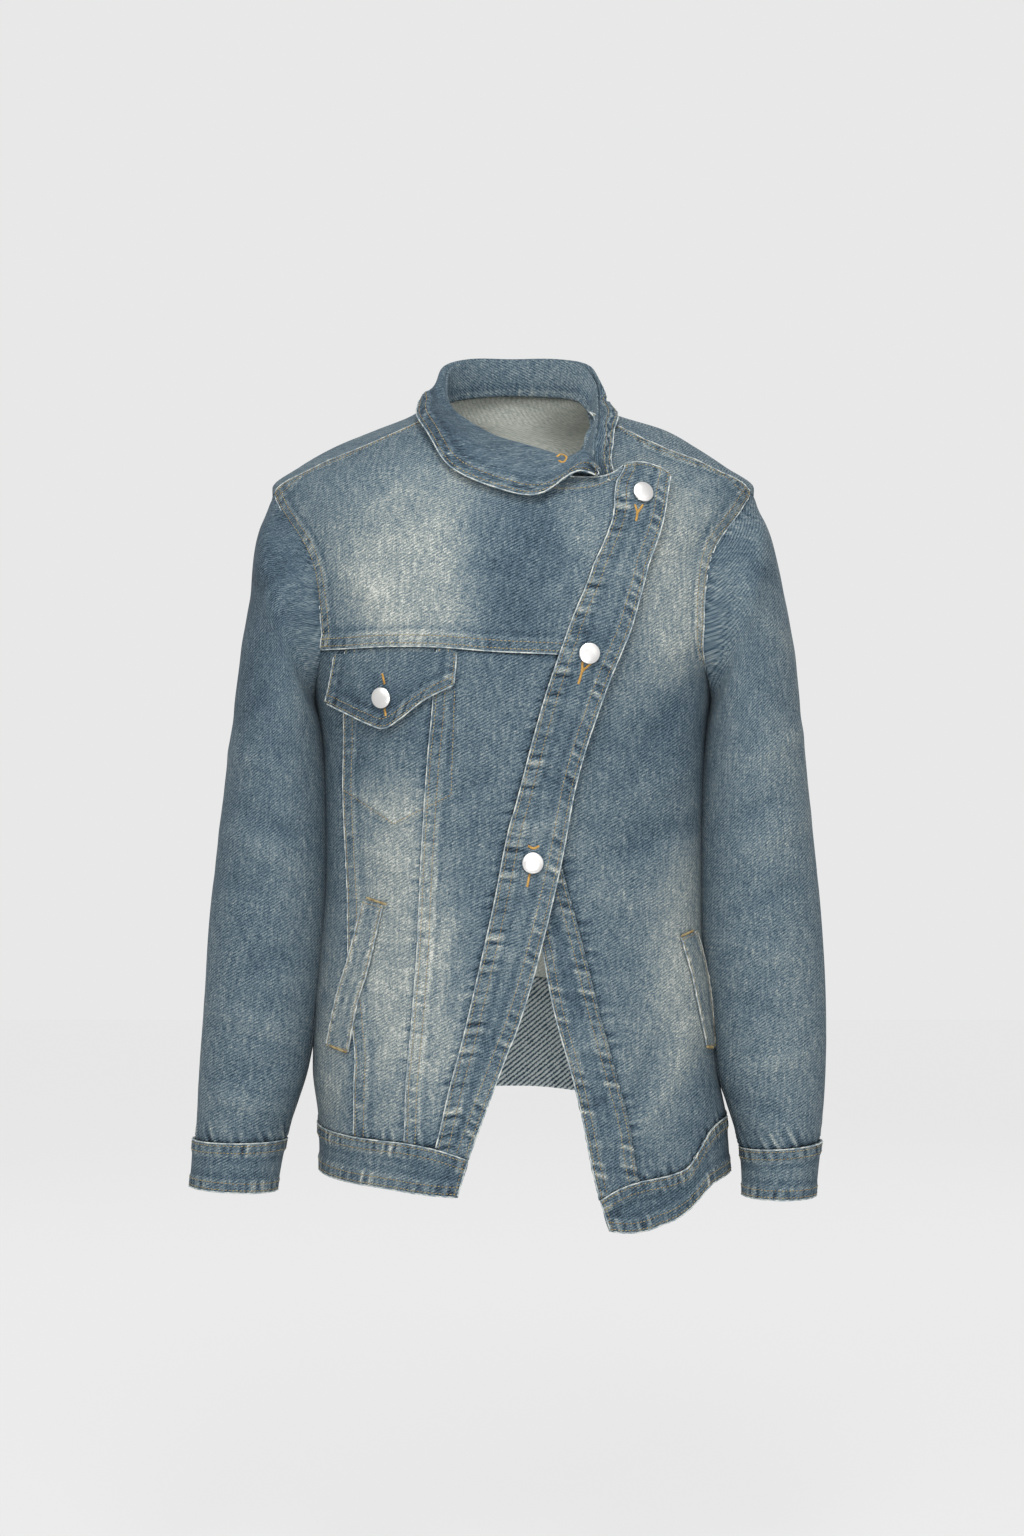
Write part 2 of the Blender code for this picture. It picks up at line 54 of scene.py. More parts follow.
CLOTH = 1.2

# Level sections of the body. Ridge is how sharply a section turns at the side: 1 is an ellipse.
BODY_SECTIONS = [
    # height, right, left, front, back, ridge
    (40, 44, 46, 26, 60, 1.0),
    (28, 55, 55, 34, 66, 1.1),
    (12, 70, 64, 48, 74, 1.3),
    (0, 84, 88, 62, 80, 1.6),
    (-14, 118, 132, 74, 87, 1.7),
    (-28, 152, 157, 85, 93, 1.7),
    (-45, 182, 183, 96, 99, 1.6),
    (-64, 206, 208, 104, 104, 1.4),
    (-84, 205, 206, 110, 107, 1.2),
    (-120, 196, 196, 117, 110, 1.05),
    (-160, 186, 186, 122, 112, 0.95),
    (-200, 178, 178, 123, 112, 0.9),
    (-240, 170, 171, 121, 110, 0.9),
    (-300, 162, 165, 117, 106, 0.9),
    (-400, 161, 164, 112, 101, 0.9),
    (-440, 164, 164, 112, 101, 0.9),
    (-500, 169, 171, 114, 103, 0.9),
    (-560, 171, 176, 118, 106, 0.9),
    (-605, 166, 184, 121, 109, 0.9),
    (-650, 165, 187, 122, 110, 0.9),
    (-700, 165, 188, 122, 110, 0.9),
]
# Seams seen from the front: distance to the wearer's left, height.
SHOULDER_SEAM = [(64, -4), (88, -16), (125, -32), (158, -44), (181, -55), (203, -69)]
# Armhole as turned angle from the centre front and height, from the shoulder seam down.
ARMHOLE_FRONT = [(77, -69), (66, -96), (60, -122), (59, -150), (60, -180), (63, -206),
                 (74, -229), (90, -240)]
ARMHOLE_BACK = [(77, -69), (88, -70), (104, -79), (116, -100), (122, -125), (124, -152),
                (122, -182), (116, -208), (105, -230), (90, -240)]
BACK_NECKLINE = [(66, 6), (90, 14), (116, 20), (145, 25), (180, 28), (215, 25), (242, 19),
                 (270, 10), (294, 4)]
BACK_HEM = [(90, -602, -647), (120, -575, -632), (150, -512, -600), (180, -489, -588),
            (210, -512, -600), (240, -575, -632), (270, -606, -646)]
RIGHT_SIDE_HEM = (-606, -646)
LEFT_SIDE_HEM = (-602, -647)


def section_slopes(column):
    """Slope of one column of the body's sections at each row, with no overshoot."""
    steps = [(b[column] - a[column]) / (b[0] - a[0]) for a, b in zip(BODY_SECTIONS, BODY_SECTIONS[1:])]
    middle = [0.0 if a * b <= 0 else 2 * a * b / (a + b) for a, b in zip(steps, steps[1:])]
    return [steps[0]] + middle + [steps[-1]]


def section_table():
    """Each column of the body's sections at every millimetre of height, from the hem up."""
    heights = np.arange(BODY_SECTIONS[-1][0], BODY_SECTIONS[0][0] + 1.0, 1.0)
    rows = np.array(BODY_SECTIONS, dtype=float)
    index = np.clip(np.searchsorted(-rows[:, 0], -heights) - 1, 0, len(rows) - 2)
    span = rows[index + 1, 0] - rows[index, 0]
    t = (heights - rows[index, 0]) / span
    columns = []
    for column in range(1, 6):
        slopes = np.array(section_slopes(column))
        columns.append((2 * t ** 3 - 3 * t ** 2 + 1) * rows[index, column]
                       + (t ** 3 - 2 * t ** 2 + t) * span * slopes[index]
                       + (3 * t ** 2 - 2 * t ** 3) * rows[index + 1, column]
                       + (t ** 3 - t ** 2) * span * slopes[index + 1])
    return heights, columns


SECTION_HEIGHTS, SECTION_COLUMNS = section_table()


def on_body(angle, height):
    """Points of the body's outer face at angles turned from the front to the left."""
    right, left, front, back, ridge = (np.interp(height, SECTION_HEIGHTS, column)
                                       for column in SECTION_COLUMNS)
    across, ahead = np.sin(np.radians(angle)), np.cos(np.radians(angle))
    width, depth = np.where(across >= 0, left, right), np.where(ahead >= 0, front, back)
    x = width * np.sign(across) * np.abs(across) ** np.minimum(1.0, ridge)
    y = -depth * np.sign(ahead) * np.abs(ahead) ** ridge
    return np.stack([x, y, height + 0.0 * x], axis=-1)


def unit(vectors):
    return vectors / np.maximum(np.linalg.norm(vectors, axis=-1, keepdims=True), 1e-9)


def body_normal(angle, height):
    along = on_body(angle + 0.5, height) - on_body(angle - 0.5, height)
    down = on_body(angle, height - 1.5) - on_body(angle, height + 1.5)
    return unit(np.cross(down, along))


def body_point(angle, height, lift=0.0):
    """Points lifted off the body's face along its outward normal."""
    angle, height = np.asarray(angle, dtype=float), np.asarray(height, dtype=float)
    return on_body(angle, height) + body_normal(angle, height) * np.asarray(lift)[..., None]


def front_angle(x, height):
    """Turned angle of the point of the front that is x to the wearer's left."""
    right, left, ridge = (float(np.interp(height, SECTION_HEIGHTS, SECTION_COLUMNS[column]))
                          for column in (0, 1, 4))
    share = min(1.0, abs(x) / (left if x >= 0 else right)) ** (1.0 / min(1.0, ridge))
    return math.copysign(math.degrees(math.asin(share)), x)


def front_line(points):
    return [(front_angle(x, height), height) for x, height in points]


def line_at(points, t):
    """Points at shares t of a smooth line through the points."""
    points, t = np.asarray(points, dtype=float), np.clip(np.asarray(t, dtype=float), 0, 1)
    steps = np.linalg.norm(np.diff(points, axis=0), axis=1)
    lengths = np.concatenate([[0.0], np.cumsum(steps)])
    slopes = np.empty_like(points)
    slopes[0], slopes[-1] = (points[1] - points[0]) / steps[0], (points[-1] - points[-2]) / steps[-1]
    slopes[1:-1] = (points[2:] - points[:-2]) / (lengths[2:] - lengths[:-2])[:, None]
    target = t * lengths[-1]
    index = np.clip(np.searchsorted(lengths, target, side="right") - 1, 0, len(steps) - 1)
    span = steps[index][..., None]
    s = (target[..., None] - lengths[index][..., None]) / span
    return ((2 * s ** 3 - 3 * s ** 2 + 1) * points[index]
            + (s ** 3 - 2 * s ** 2 + s) * span * slopes[index]
            + (3 * s ** 2 - 2 * s ** 3) * points[index + 1]
            + (s ** 3 - s ** 2) * span * slopes[index + 1])


def joined(*lines, count=40):
    """Several smooth lines end to end, which keep the corners between them."""
    parts = [line_at(line, np.linspace(0, 1, count + 1)) for line in lines]
    return np.concatenate([parts[0]] + [part[1:] for part in parts[1:]])


def smooth_step(low, high, value):
    t = np.clip((value - low) / (high - low), 0, 1)
    return t * t * (3 - 2 * t)


def no_lift(angle, height):
    return 0.0 * angle


def new_cloth(name, points, normals, angle=None):
    """A sheet of cloth under way: its points in rows from the top, how each rises, and how each fades or is
    painted with shade.
    """
    return SimpleNamespace(name=name, points=points, normals=normals, rise=np.zeros(points.shape[:2]),
                           wear_and_shade=np.zeros(points.shape[:2]), angle=angle)


def panel(name, top, bottom, left, right, lift=no_lift, fades=(1, 1, 1, 1), crowd=1.0, spacing=2.6):
    """A sewn piece of the body between four seam lines, each (turned angle, height).

    Each fade says how fast a border's bends die out inwards: top, bottom, left and right.
    """
    def length(first, second):
        ends = [body_point(*line_at(first, t).T, 0.0) - body_point(*line_at(second, t).T, 0.0)
                for t in (0.1, 0.5, 0.9)]
        return max(np.linalg.norm(end) for end in ends)
    columns, rows = round(length(left, right) / spacing), round(length(top, bottom) / spacing)
    u = np.linspace(0, 1, columns + 1)[None, :, None]
    v = np.linspace(0, 1, rows + 1)[:, None, None] ** crowd
    top, bottom, left, right = (np.asarray(line, dtype=float) for line in (top, bottom, left, right))

    def bend(line, t):
        values = line_at(line, t.ravel()).reshape(t.shape[0], t.shape[1], 2)
        return values - (1 - t) * line[0] - t * line[-1]
    corners = ((1 - u) * (1 - v) * top[0] + u * (1 - v) * top[-1]
               + (1 - u) * v * bottom[0] + u * v * bottom[-1])
    place = (corners + (1 - v) ** fades[0] * bend(top, u) + v ** fades[1] * bend(bottom, u)
             + (1 - u) ** fades[2] * bend(left, v) + u ** fades[3] * bend(right, v))
    angle, height = place[..., 0], place[..., 1]
    return new_cloth(name, body_point(angle, height, lift(angle, height)), body_normal(angle, height),
                     angle)


def from_border(cloth, side):
    """Distance of each point of the cloth from one side, and its place along that side, in mm."""
    axis = 1 if side in ("left", "right") else 0
    steps = np.linalg.norm(np.diff(cloth.points, axis=axis), axis=-1)
    away = np.zeros(cloth.points.shape[:2])
    if axis == 1:
        away[:, 1:] = np.cumsum(steps, axis=1)
    else:
        away[1:, :] = np.cumsum(steps, axis=0)
    if side == "right":
        away = away[:, -1:] - away
    if side == "bottom":
        away = away[-1:, :] - away
    steps = np.linalg.norm(np.diff(cloth.points, axis=1 - axis), axis=-1)
    along = np.zeros(cloth.points.shape[:2])
    if axis == 1:
        along[1:, :] = np.cumsum(steps, axis=0)
    else:
        along[:, 1:] = np.cumsum(steps, axis=1)
    return away, along


def gathers(along, away, seed):
    """Uneven waves along a seam, about -1 to 1, which lean as they leave it."""
    shifted = along + 0.3 * away * math.sin(seed * 1.7)
    return (0.55 * np.sin(shifted * 0.72 + seed) + 0.45 * np.sin(shifted * 0.47 + 2.1 * seed)
            + 0.35 * np.sin(shifted * 1.19 + 3.7 * seed) + 0.25 * np.sin(shifted * 0.131 + seed))


def sewn_edge(cloth, side, wide=13.0, high=0.9, pucker=0.35, white=0.9, reach=14.0, start=0.0,
              end=1.0, seed=1.0, tight=1.0):
    """A felled or hemmed side: a thicker strip, puckered between its stitch rows, worn pale on
    its edge and on each pucker's crest, with indigo left in the pucker hollows. Painted shade: a dark band
    just beyond the raised strip, and on a side that lies under its neighbour (white at 0) a dark band where
    the neighbour's edge casts its shadow."""
    away, along = from_border(cloth, side)
    share = along / np.maximum(along.max(axis=0 if side in ("left", "right") else 1, keepdims=True), 1)
    there = smooth_step(start - 0.01, start + 0.01, share) * (1 - smooth_step(end - 0.01, end + 0.01, share))
    if start <= 0 and end >= 1:
        there = 1.0
    wave = gathers(along * tight, away, seed)
    strip = 1 - smooth_step(wide - 1.5, wide + 1.0, away)
    strip_on_top = 1.0 if white > 0 else 0.0
    band = np.exp(-((away - 0.5 * wide) / (0.5 * reach)) ** 2)
    cloth.rise += there * (high * strip + pucker * wave * band)
    uneven = 0.75 + 0.45 * np.sin(along * 0.083 + 5 * seed)
    # Painted shade below: the dark band at the border of an underlying side stands for the shadow of the
    # edge that laps over it, and the dark band just beyond a raised strip stands for shade in the hollow
    # beside it.
    cloth.wear_and_shade += there * (0.7 * white * np.exp(-(away / 1.5) ** 2)
                           + (1.5 * wave * uneven - 0.15) * band * min(1.0, 0.2 + pucker)
                           - 0.7 * np.exp(-(away / 4.0) ** 2) * (1 - strip_on_top)
                           + 0.5 * np.exp(-((away - wide) / 1.5) ** 2) * strip_on_top
                           - 0.8 * np.exp(-((away - wide - 4.0) / 3.0) ** 2) * (0.6 + 0.4 * wave)
                           * strip_on_top)


def crease(cloth, rows, back=False):
    """Soft ridges and troughs placed one by one, as seen from the front."""
    x, y, z = cloth.points[..., 0], cloth.points[..., 1], cloth.points[..., 2]
    faces = cloth.normals[..., 1] > 0 if back else cloth.normals[..., 1] < 0.25
    for start_x, start_z, end_x, end_z, width, depth, wear_and_shade in rows:
        run = math.hypot(end_x - start_x, end_z - start_z)
        along = ((x - start_x) * (end_x - start_x) + (z - start_z) * (end_z - start_z)) / run ** 2
        off = ((x - start_x) * (end_z - start_z) - (z - start_z) * (end_x - start_x)) / run
        off = off + 0.06 * run * np.sin(along * 3.1) * math.copysign(1, depth)
        shape = (np.exp(-(off / width) ** 2) * smooth_step(-0.25, 0.3, along)
                 * (1 - smooth_step(0.7, 1.25, along)) * faces)
        cloth.rise += depth * shape
        cloth.wear_and_shade += wear_and_shade * shape


MOST_FADED = 1.15


def fade(cloth, rows, back=False):
    """Patches where the wash took more, or less, of the indigo: centre, half sizes, amount."""
    x, z = cloth.points[..., 0], cloth.points[..., 2]
    faces = cloth.normals[..., 1] > 0 if back else cloth.normals[..., 1] < 0.3
    for centre_x, centre_z, half_x, half_z, amount in rows:
        reach = ((x - centre_x) / half_x) ** 2 + ((z - centre_z) / half_z) ** 2
        cloth.wear_and_shade += amount * np.exp(-reach ** 1.5) * faces
    cloth.wear_and_shade = np.minimum(cloth.wear_and_shade, MOST_FADED)


def linear(colour):
    """An sRGB hex colour as the linear one that the shaders take."""
    channels = [int(colour[i:i + 2], 16) / 255 for i in (1, 3, 5)]
    return tuple(c / 12.92 if c <= 0.04045 else ((c + 0.055) / 1.055) ** 2.4 for c in channels) + (1.0,)


GIRTH_ANGLES = np.arange(-180.0, 541.0, 2.0)
GIRTH_HEIGHTS = np.arange(-700.0, 41.0, 20.0)
GIRTH_LINES = on_body(GIRTH_ANGLES[None, :], GIRTH_HEIGHTS[:, None])
GIRTH = np.concatenate([np.zeros((len(GIRTH_HEIGHTS), 1)),
                        np.cumsum(np.linalg.norm(np.diff(GIRTH_LINES, axis=1), axis=2), axis=1)], axis=1)
GIRTH -= GIRTH[:, 90:91]


def round_body(angle, height):
    """Distance round the body from the centre front, at a turned angle and a height."""
    level = np.clip((height - GIRTH_HEIGHTS[0]) / 20.0, 0, len(GIRTH_HEIGHTS) - 1.001)
    turn = np.clip((angle - GIRTH_ANGLES[0]) / 2.0, 0, len(GIRTH_ANGLES) - 1.001)
    row, column = level.astype(int), turn.astype(int)
    down, over = level - row, turn - column
    return ((GIRTH[row, column] * (1 - over) + GIRTH[row, column + 1] * over) * (1 - down)
            + (GIRTH[row + 1, column] * (1 - over) + GIRTH[row + 1, column + 1] * over) * down)


def flat_map(cloth, anchor):
    """Flat cloth coordinates, in mm: round the body and up it, or from the anchored side."""
    if anchor == "body":
        height = cloth.points[..., 2]
        return round_body(cloth.angle, height), height + 0.3 * np.maximum(0, height + 100)
    across, up = from_border(cloth, "left")[0], from_border(cloth, "bottom")[0]
    if anchor == "left":
        across = across + cloth.points[:, :1, 0]
    elif anchor == "right":
        across = across - across[:, -1:] + cloth.points[:, -1:, 0]
    else:
        middle = across.shape[1] // 2
        across = across - across[:, middle:middle + 1]
    return across, up + cloth.points[-1:, :, 2]


def add_node(tree, kind, inputs=(), **settings):
    """A new shader node with its settings, and its inputs as values or as sockets to join."""
    node = tree.nodes.new("ShaderNode" + kind)
    for name, value in settings.items():
        setattr(node, name, value)
    for key, value in dict(inputs).items():
        if isinstance(value, bpy.types.NodeSocket):
            tree.links.new(value, node.inputs[key])
        else:
            node.inputs[key].default_value = value
    return node


def colour_ramp(tree, factor, stops):
    ramp = add_node(tree, "ValToRGB", {0: factor})
    while len(ramp.color_ramp.elements) < len(stops):
        ramp.color_ramp.elements.new(0.5)
    for element, (place, colour) in zip(ramp.color_ramp.elements, stops):
        element.position = place
        element.color = linear(colour)
    return ramp.outputs[0]


# Twill ridges of real 12 oz denim are about 0.9 mm apart; they are drawn coarser so that they show.
TWILL_PITCH = 2.3
WAVE_PERIOD = 0.314
RIDGE_HEIGHT = 0.0004


def denim(name, tones, thread, lean, contrast, hollow="#d3d8dc", pitch=TWILL_PITCH,
          bump_strength=0.35):
    """Cotton twill denim, dyed in the yarn and stone washed: matt, with slanting ridges, slubs
    along the warp, and tones that follow the wear and the painted shade on each panel."""
    material = bpy.data.materials.new(name)
    material.use_nodes = True
    tree = material.node_tree
    shader = tree.nodes["Principled BSDF"]
    place = add_node(tree, "UVMap", uv_map="UVMap").outputs[0]
    turned = add_node(tree, "Mapping", {0: place, 2: (0, 0, math.radians(lean))}).outputs[0]
    twill = add_node(tree, "TexWave", {0: turned, 1: WAVE_PERIOD / (pitch * MM), 2: 2.5, 3: 2.0,
                                       4: 6.0, 5: 0.6}, wave_type="BANDS").outputs[1]
    ridge = add_node(tree, "Mapping", {0: turned, 3: (1.0, 0.28, 1.0)}).outputs[0]
    yarn = add_node(tree, "TexNoise", {0: ridge, 2: 780.0, 3: 2.0, 4: 0.6}).outputs[0]
    warp = add_node(tree, "Mapping", {0: place, 3: (1.0, 0.14, 1.0)}).outputs[0]
    slub = add_node(tree, "TexNoise", {0: warp, 2: 380.0, 3: 3.0, 4: 0.65}).outputs[0]
    grain = add_node(tree, "TexNoise", {0: place, 2: 900.0, 3: 1.0, 4: 0.5}).outputs[0]
    blotch = add_node(tree, "TexNoise", {0: place, 2: 55.0, 3: 4.0, 4: 0.6}).outputs[0]
    cloud = add_node(tree, "TexNoise", {0: place, 2: 11.0, 3: 3.0, 4: 0.55}).outputs[0]
    # This attribute holds wear and painted shade together: fades and worn edges, and the dark bands painted
    # beside seams for shade.
    wear_and_shade = add_node(tree, "Attribute", attribute_name="wear_and_shade").outputs[2]
    tone = add_node(tree, "Math", {0: wear_and_shade, 1: 0.25, 2: 0.44}, operation="MULTIPLY_ADD").outputs[0]
    for noise, amount in ((yarn, 1.00), (slub, 0.60), (grain, 0.90), (blotch, 0.30), (cloud, 0.24)):
        centred = add_node(tree, "Math", {0: noise, 1: 0.5}, operation="SUBTRACT").outputs[0]
        tone = add_node(tree, "Math", {0: centred, 1: amount, 2: tone}, operation="MULTIPLY_ADD").outputs[0]
    cloth = colour_ramp(tree, tone, tones)
    pale = colour_ramp(tree, twill, [(0.50, "#000000"), (0.85, "#ffffff")])
    share = add_node(tree, "Math", {0: pale, 1: contrast}, operation="MULTIPLY").outputs[0]
    colour = add_node(tree, "MixRGB", {0: share, 1: cloth, 2: linear(thread)}).outputs[0]
    dark = colour_ramp(tree, twill, [(0.10, hollow), (0.40, "#ffffff")])
    colour = add_node(tree, "MixRGB", {0: 1.0, 1: colour, 2: dark}, blend_type="MULTIPLY").outputs[0]
    relief = add_node(tree, "Math", {0: yarn, 1: 1.6, 2: twill}, operation="MULTIPLY_ADD").outputs[0]
    bump = add_node(tree, "Bump", {"Strength": bump_strength, "Distance": RIDGE_HEIGHT,
                                   "Height": relief}).outputs[0]
    tree.links.new(colour, shader.inputs["Base Color"])
    tree.links.new(bump, shader.inputs["Normal"])
    shader.inputs["Roughness"].default_value = 0.9
    shader.inputs["Specular IOR Level"].default_value = 0.25
    return material


OUTSIDE_TONES = [(0.0, "#0f2230"), (0.2, "#293e4c"), (0.4, "#435561"), (0.6, "#657277"),
                 (0.8, "#888d88"), (1.0, "#b6b7b0")]
INSIDE_TONES = [(0.0, "#8d9897"), (0.3, "#b2b8b2"), (0.5, "#cacdc5"), (0.75, "#d8dad2"),
                (1.0, "#e4e4db")]
outside = denim("washed_denim", OUTSIDE_TONES, "#a3a8a6", 62.0, 0.10)
inside = denim("washed_denim_wrong_side", INSIDE_TONES, "#d3d5cc", -62.0, 0.04, "#ecece8",
               bump_strength=0.08)


def placed_piece(form, mesh_name, piece_name, *materials):
    """A finished form as a smooth mesh piece of the scene, at the origin."""
    mesh = bpy.data.meshes.new(mesh_name)
    form.to_mesh(mesh)
    form.free()
    mesh.shade_smooth()
    for material in materials:
        mesh.materials.append(material)
    piece = bpy.data.objects.new(piece_name, mesh)
    bpy.context.scene.collection.objects.link(piece)
    return piece


def finish_cloth(cloth, thickness=CLOTH, anchor="left", lining=None):
    """The sheet as a mesh piece with a wall, its map of flat cloth, and its wear and painted shade.
    """
    rows, columns = cloth.points.shape[0] - 1, cloth.points.shape[1] - 1
    form = bmesh.new()
    bmesh.ops.create_grid(form, x_segments=columns, y_segments=rows, size=1.0)
    placed = (cloth.points + cloth.normals * cloth.rise[..., None]) * MM
    across, up = flat_map(cloth, anchor)
    flat = form.loops.layers.uv.new("UVMap")
    wear_and_shade = form.verts.layers.float.new("wear_and_shade")
    for vertex in form.verts:
        column = round((vertex.co.x + 1) / 2 * columns)
        row = round((1 - vertex.co.y) / 2 * rows)
        vertex.co = Vector(placed[row, column])
        vertex[wear_and_shade] = cloth.wear_and_shade[row, column]
        for loop in vertex.link_loops:
            loop[flat].uv = (across[row, column] * MM, up[row, column] * MM)
    piece = placed_piece(form, cloth.name, cloth.name + "_cloth", outside, lining or inside)
    wall = piece.modifiers.new("wall", "SOLIDIFY")
    wall.thickness = thickness * MM
    wall.offset = -1.0
    wall.material_offset = 1
    wall.use_even_offset = False
    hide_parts(cloth.name)
    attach(piece, "root")


# Topstitching: golden cotton-wrapped polyester, 2.7 mm stitches at 3.2 mm pitch, sunk in the cloth.
# Halves are its length, width and height; each stitch sways a little off its row.
STITCH_PITCH = 3.2
STITCH_HALF = (1.35, 0.42, 0.34)
STITCH_PROUD = 0.12
STITCH_SWAY = 0.15


def thread_material(name, pale, strong):
    material = bpy.data.materials.new(name)
    material.use_nodes = True
    tree = material.node_tree
    shader = tree.nodes["Principled BSDF"]
    place = add_node(tree, "TexCoord").outputs["Object"]
    noise = add_node(tree, "TexNoise", {0: place, 2: 160.0, 3: 2.0}).outputs[0]
    tree.links.new(colour_ramp(tree, noise, [(0.38, strong), (0.62, pale)]), shader.inputs["Base Color"])
    shader.inputs["Roughness"].default_value = 0.6
    return material


thread = thread_material("topstitch_thread", "#948660", "#75603a")
bright_thread = thread_material("buttonhole_thread", "#b98f45", "#96702c")


def row_along(cloth, side, inset, start=0.0, end=1.0, pitch=STITCH_PITCH):
    """Places, directions and normals of a stitch row that follows one side of the cloth."""
    away, along = from_border(cloth, side)
    surface = cloth.points + cloth.normals * cloth.rise[..., None]
    if side in ("top", "bottom"):
        away, surface, normals = away.T, surface.transpose(1, 0, 2), cloth.normals.transpose(1, 0, 2)
    else:
        normals = cloth.normals
    if side in ("right", "bottom"):
        away, surface, normals = away[:, ::-1], surface[:, ::-1], normals[:, ::-1]
    points = np.array([[np.interp(inset, away[i], surface[i, :, k]) for k in range(3)]
                       for i in range(len(away))])
    faces = np.array([[np.interp(inset, away[i], normals[i, :, k]) for k in range(3)]
                      for i in range(len(away))])
    return follow(points, faces, start, end, pitch)


def follow(points, faces, start=0.0, end=1.0, pitch=STITCH_PITCH, margin=2.0):
    """Stitch places at an even pitch along a line of points."""
    lengths = np.concatenate([[0.0], np.cumsum(np.linalg.norm(np.diff(points, axis=0), axis=1))])
    stops = np.arange(start * lengths[-1] + margin, end * lengths[-1] - margin / 2, pitch)
    at = np.stack([np.interp(stops, lengths, points[:, k]) for k in range(3)], axis=-1)
    on = np.stack([np.interp(stops + 1.0, lengths, points[:, k]) for k in range(3)], axis=-1)
    face = np.stack([np.interp(stops, lengths, faces[:, k]) for k in range(3)], axis=-1)
    before = np.stack([np.interp(stops - 1.0, lengths, points[:, k]) for k in range(3)], axis=-1)
    return list(zip(at, on - before, face))


def make_stitches(name, rows, material=None, half=STITCH_HALF):
    """All the stitch rows of one piece, as one mesh of small sunk beads."""
    dice = random.Random(name)
    form = bmesh.new()
    for at, direction, face in [stitch for row in rows for stitch in row]:
        run = Vector(direction).normalized()
        out = (Vector(face) - run * run.dot(Vector(face))).normalized()
        side = out.cross(run)
        turn = Matrix((run, side, out)).transposed().to_4x4()
        sway = side * dice.uniform(-STITCH_SWAY, STITCH_SWAY)
        place = Matrix.Translation((Vector(at) + out * STITCH_PROUD + sway) * MM)
        size = Matrix.Diagonal([half[0] * dice.uniform(0.9, 1.08) * MM, half[1] * MM, half[2] * MM, 1.0])
        bmesh.ops.create_icosphere(form, subdivisions=1, radius=1.0, matrix=place @ turn @ size)
    piece = placed_piece(form, name, name, material or thread)
    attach(piece, "root")


# Turned edges: where the cloth is folded over, its lip has rubbed to a fine pale line.
FOLD_PITCH = 1.3
FOLD_RADIUS = 0.65
FOLD_SIDES = 6
FOLD_INSET = 0.3
FOLD_TIP = 0.02
rubbed_fold = thread_material("rubbed_denim_fold", "#b4b8b3", "#6c7b84")


def edge_of(cloth, side, start=0.0, end=1.0):
    return row_along(cloth, side, FOLD_INSET, start, end, FOLD_PITCH)


def make_folds(name, rows, radius=FOLD_RADIUS):
    """The lips of one piece's turned edges, as one mesh of fine round rolls."""
    dice = random.Random(name)
    form = bmesh.new()
    for row in rows:
        last = len(row) - 1
        made = bmesh.ops.create_grid(form, x_segments=last, y_segments=FOLD_SIDES, size=1.0)["verts"]
        sizes = [radius * dice.uniform(0.7, 1.15) for _ in row]
        for vertex in made:
            step = round((vertex.co.x + 1) / 2 * last)
            around = 2 * math.pi * (vertex.co.y + 1) / 2
            at, direction, face = row[step]
            run = Vector(direction).normalized()
            out = (Vector(face) - run * run.dot(Vector(face))).normalized()
            size = sizes[step] if 0 < step < last else FOLD_TIP
            ring = out * math.cos(around) + out.cross(run) * math.sin(around)
            vertex.co = (Vector(at) + ring * size) * MM
    bmesh.ops.remove_doubles(form, verts=form.verts[:], dist=0.03 * MM)
    bmesh.ops.recalc_face_normals(form, faces=form.faces[:])
    piece = placed_piece(form, name, name, rubbed_fold)
    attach(piece, "root")


shoulder_left = front_line(SHOULDER_SEAM)
shoulder_right = front_line([(-x, height) for x, height in SHOULDER_SEAM])
side_left = [(90, -240), (90, LEFT_SIDE_HEM[0])]
back = panel("back", [shoulder_left[0]] + BACK_NECKLINE + [(360 + shoulder_right[0][0], -4)],
             [row[:2] for row in BACK_HEM], joined(shoulder_left, ARMHOLE_BACK, side_left),
             joined([(360 + angle, height) for angle, height in shoulder_right],
                    [(360 - angle, height) for angle, height in ARMHOLE_BACK],
                    [(270, -240), (270, RIGHT_SIDE_HEM[0])]),
             fades=(2, 2, 2, 2), crowd=1.4, spacing=3.2)
fade(back, [(0, -150, 120, 60, 0.8), (60, -330, 70, 110, 0.45), (-70, -380, 60, 90, 0.35)], back=True)
crease(back, [(-120, -230, -60, -330, 16, 2.0, 0.4), (125, -225, 60, -340, 18, 2.4, 0.4),
              (-60, -420, 40, -450, 14, -1.8, -0.4), (30, -300, 90, -420, 15, -1.6, -0.3),
              (-90, -470, 20, -500, 12, 1.6, 0.3)], back=True)
sewn_edge(back, "bottom", wide=3, high=-0.5, pucker=0.4, white=0.0, seed=2.0)
finish_cloth(back, anchor="body")

# ---------------------------------------------------------------------------------------------
# Right front: a yoke over three narrower panels, all of the same denim. The yoke laps over the
# panels, the centre panel over the middle one and the middle over the side one, each seam felled
# flat and topstitched twice, so its strip stands up and puckers.
# ---------------------------------------------------------------------------------------------
LAP = 4.5
RIGHT_NECKLINE = [(-64, -4), (-58, -20), (-47, -34), (-28, -47), (0, -56), (25, -61), (50, -65),
                  (75, -64), (92, -54)]
YOKE_SEAM = [(-160, -205), (-139, -205), (-100, -204), (-61, -205), (-10, -209), (38, -211)]
OUTER_LONG_SEAM = [(-139, -205), (-141, -300), (-139, -381), (-137, -450), (-133, -515),
                   (-130, -550), (-132, -611)]
INNER_LONG_SEAM = [(-61, -205), (-65, -260), (-68, -291), (-72, -347), (-75, -402), (-78, -465),
                   (-83, -528), (-88, -613)]
RIGHT_BAND_SEAM = [(92, -54), (85, -69), (81, -101), (65, -140), (48, -183), (38, -211),
                   (22, -261), (-1, -347), (-16, -421), (-39, -523), (-51, -569), (-62, -617)]
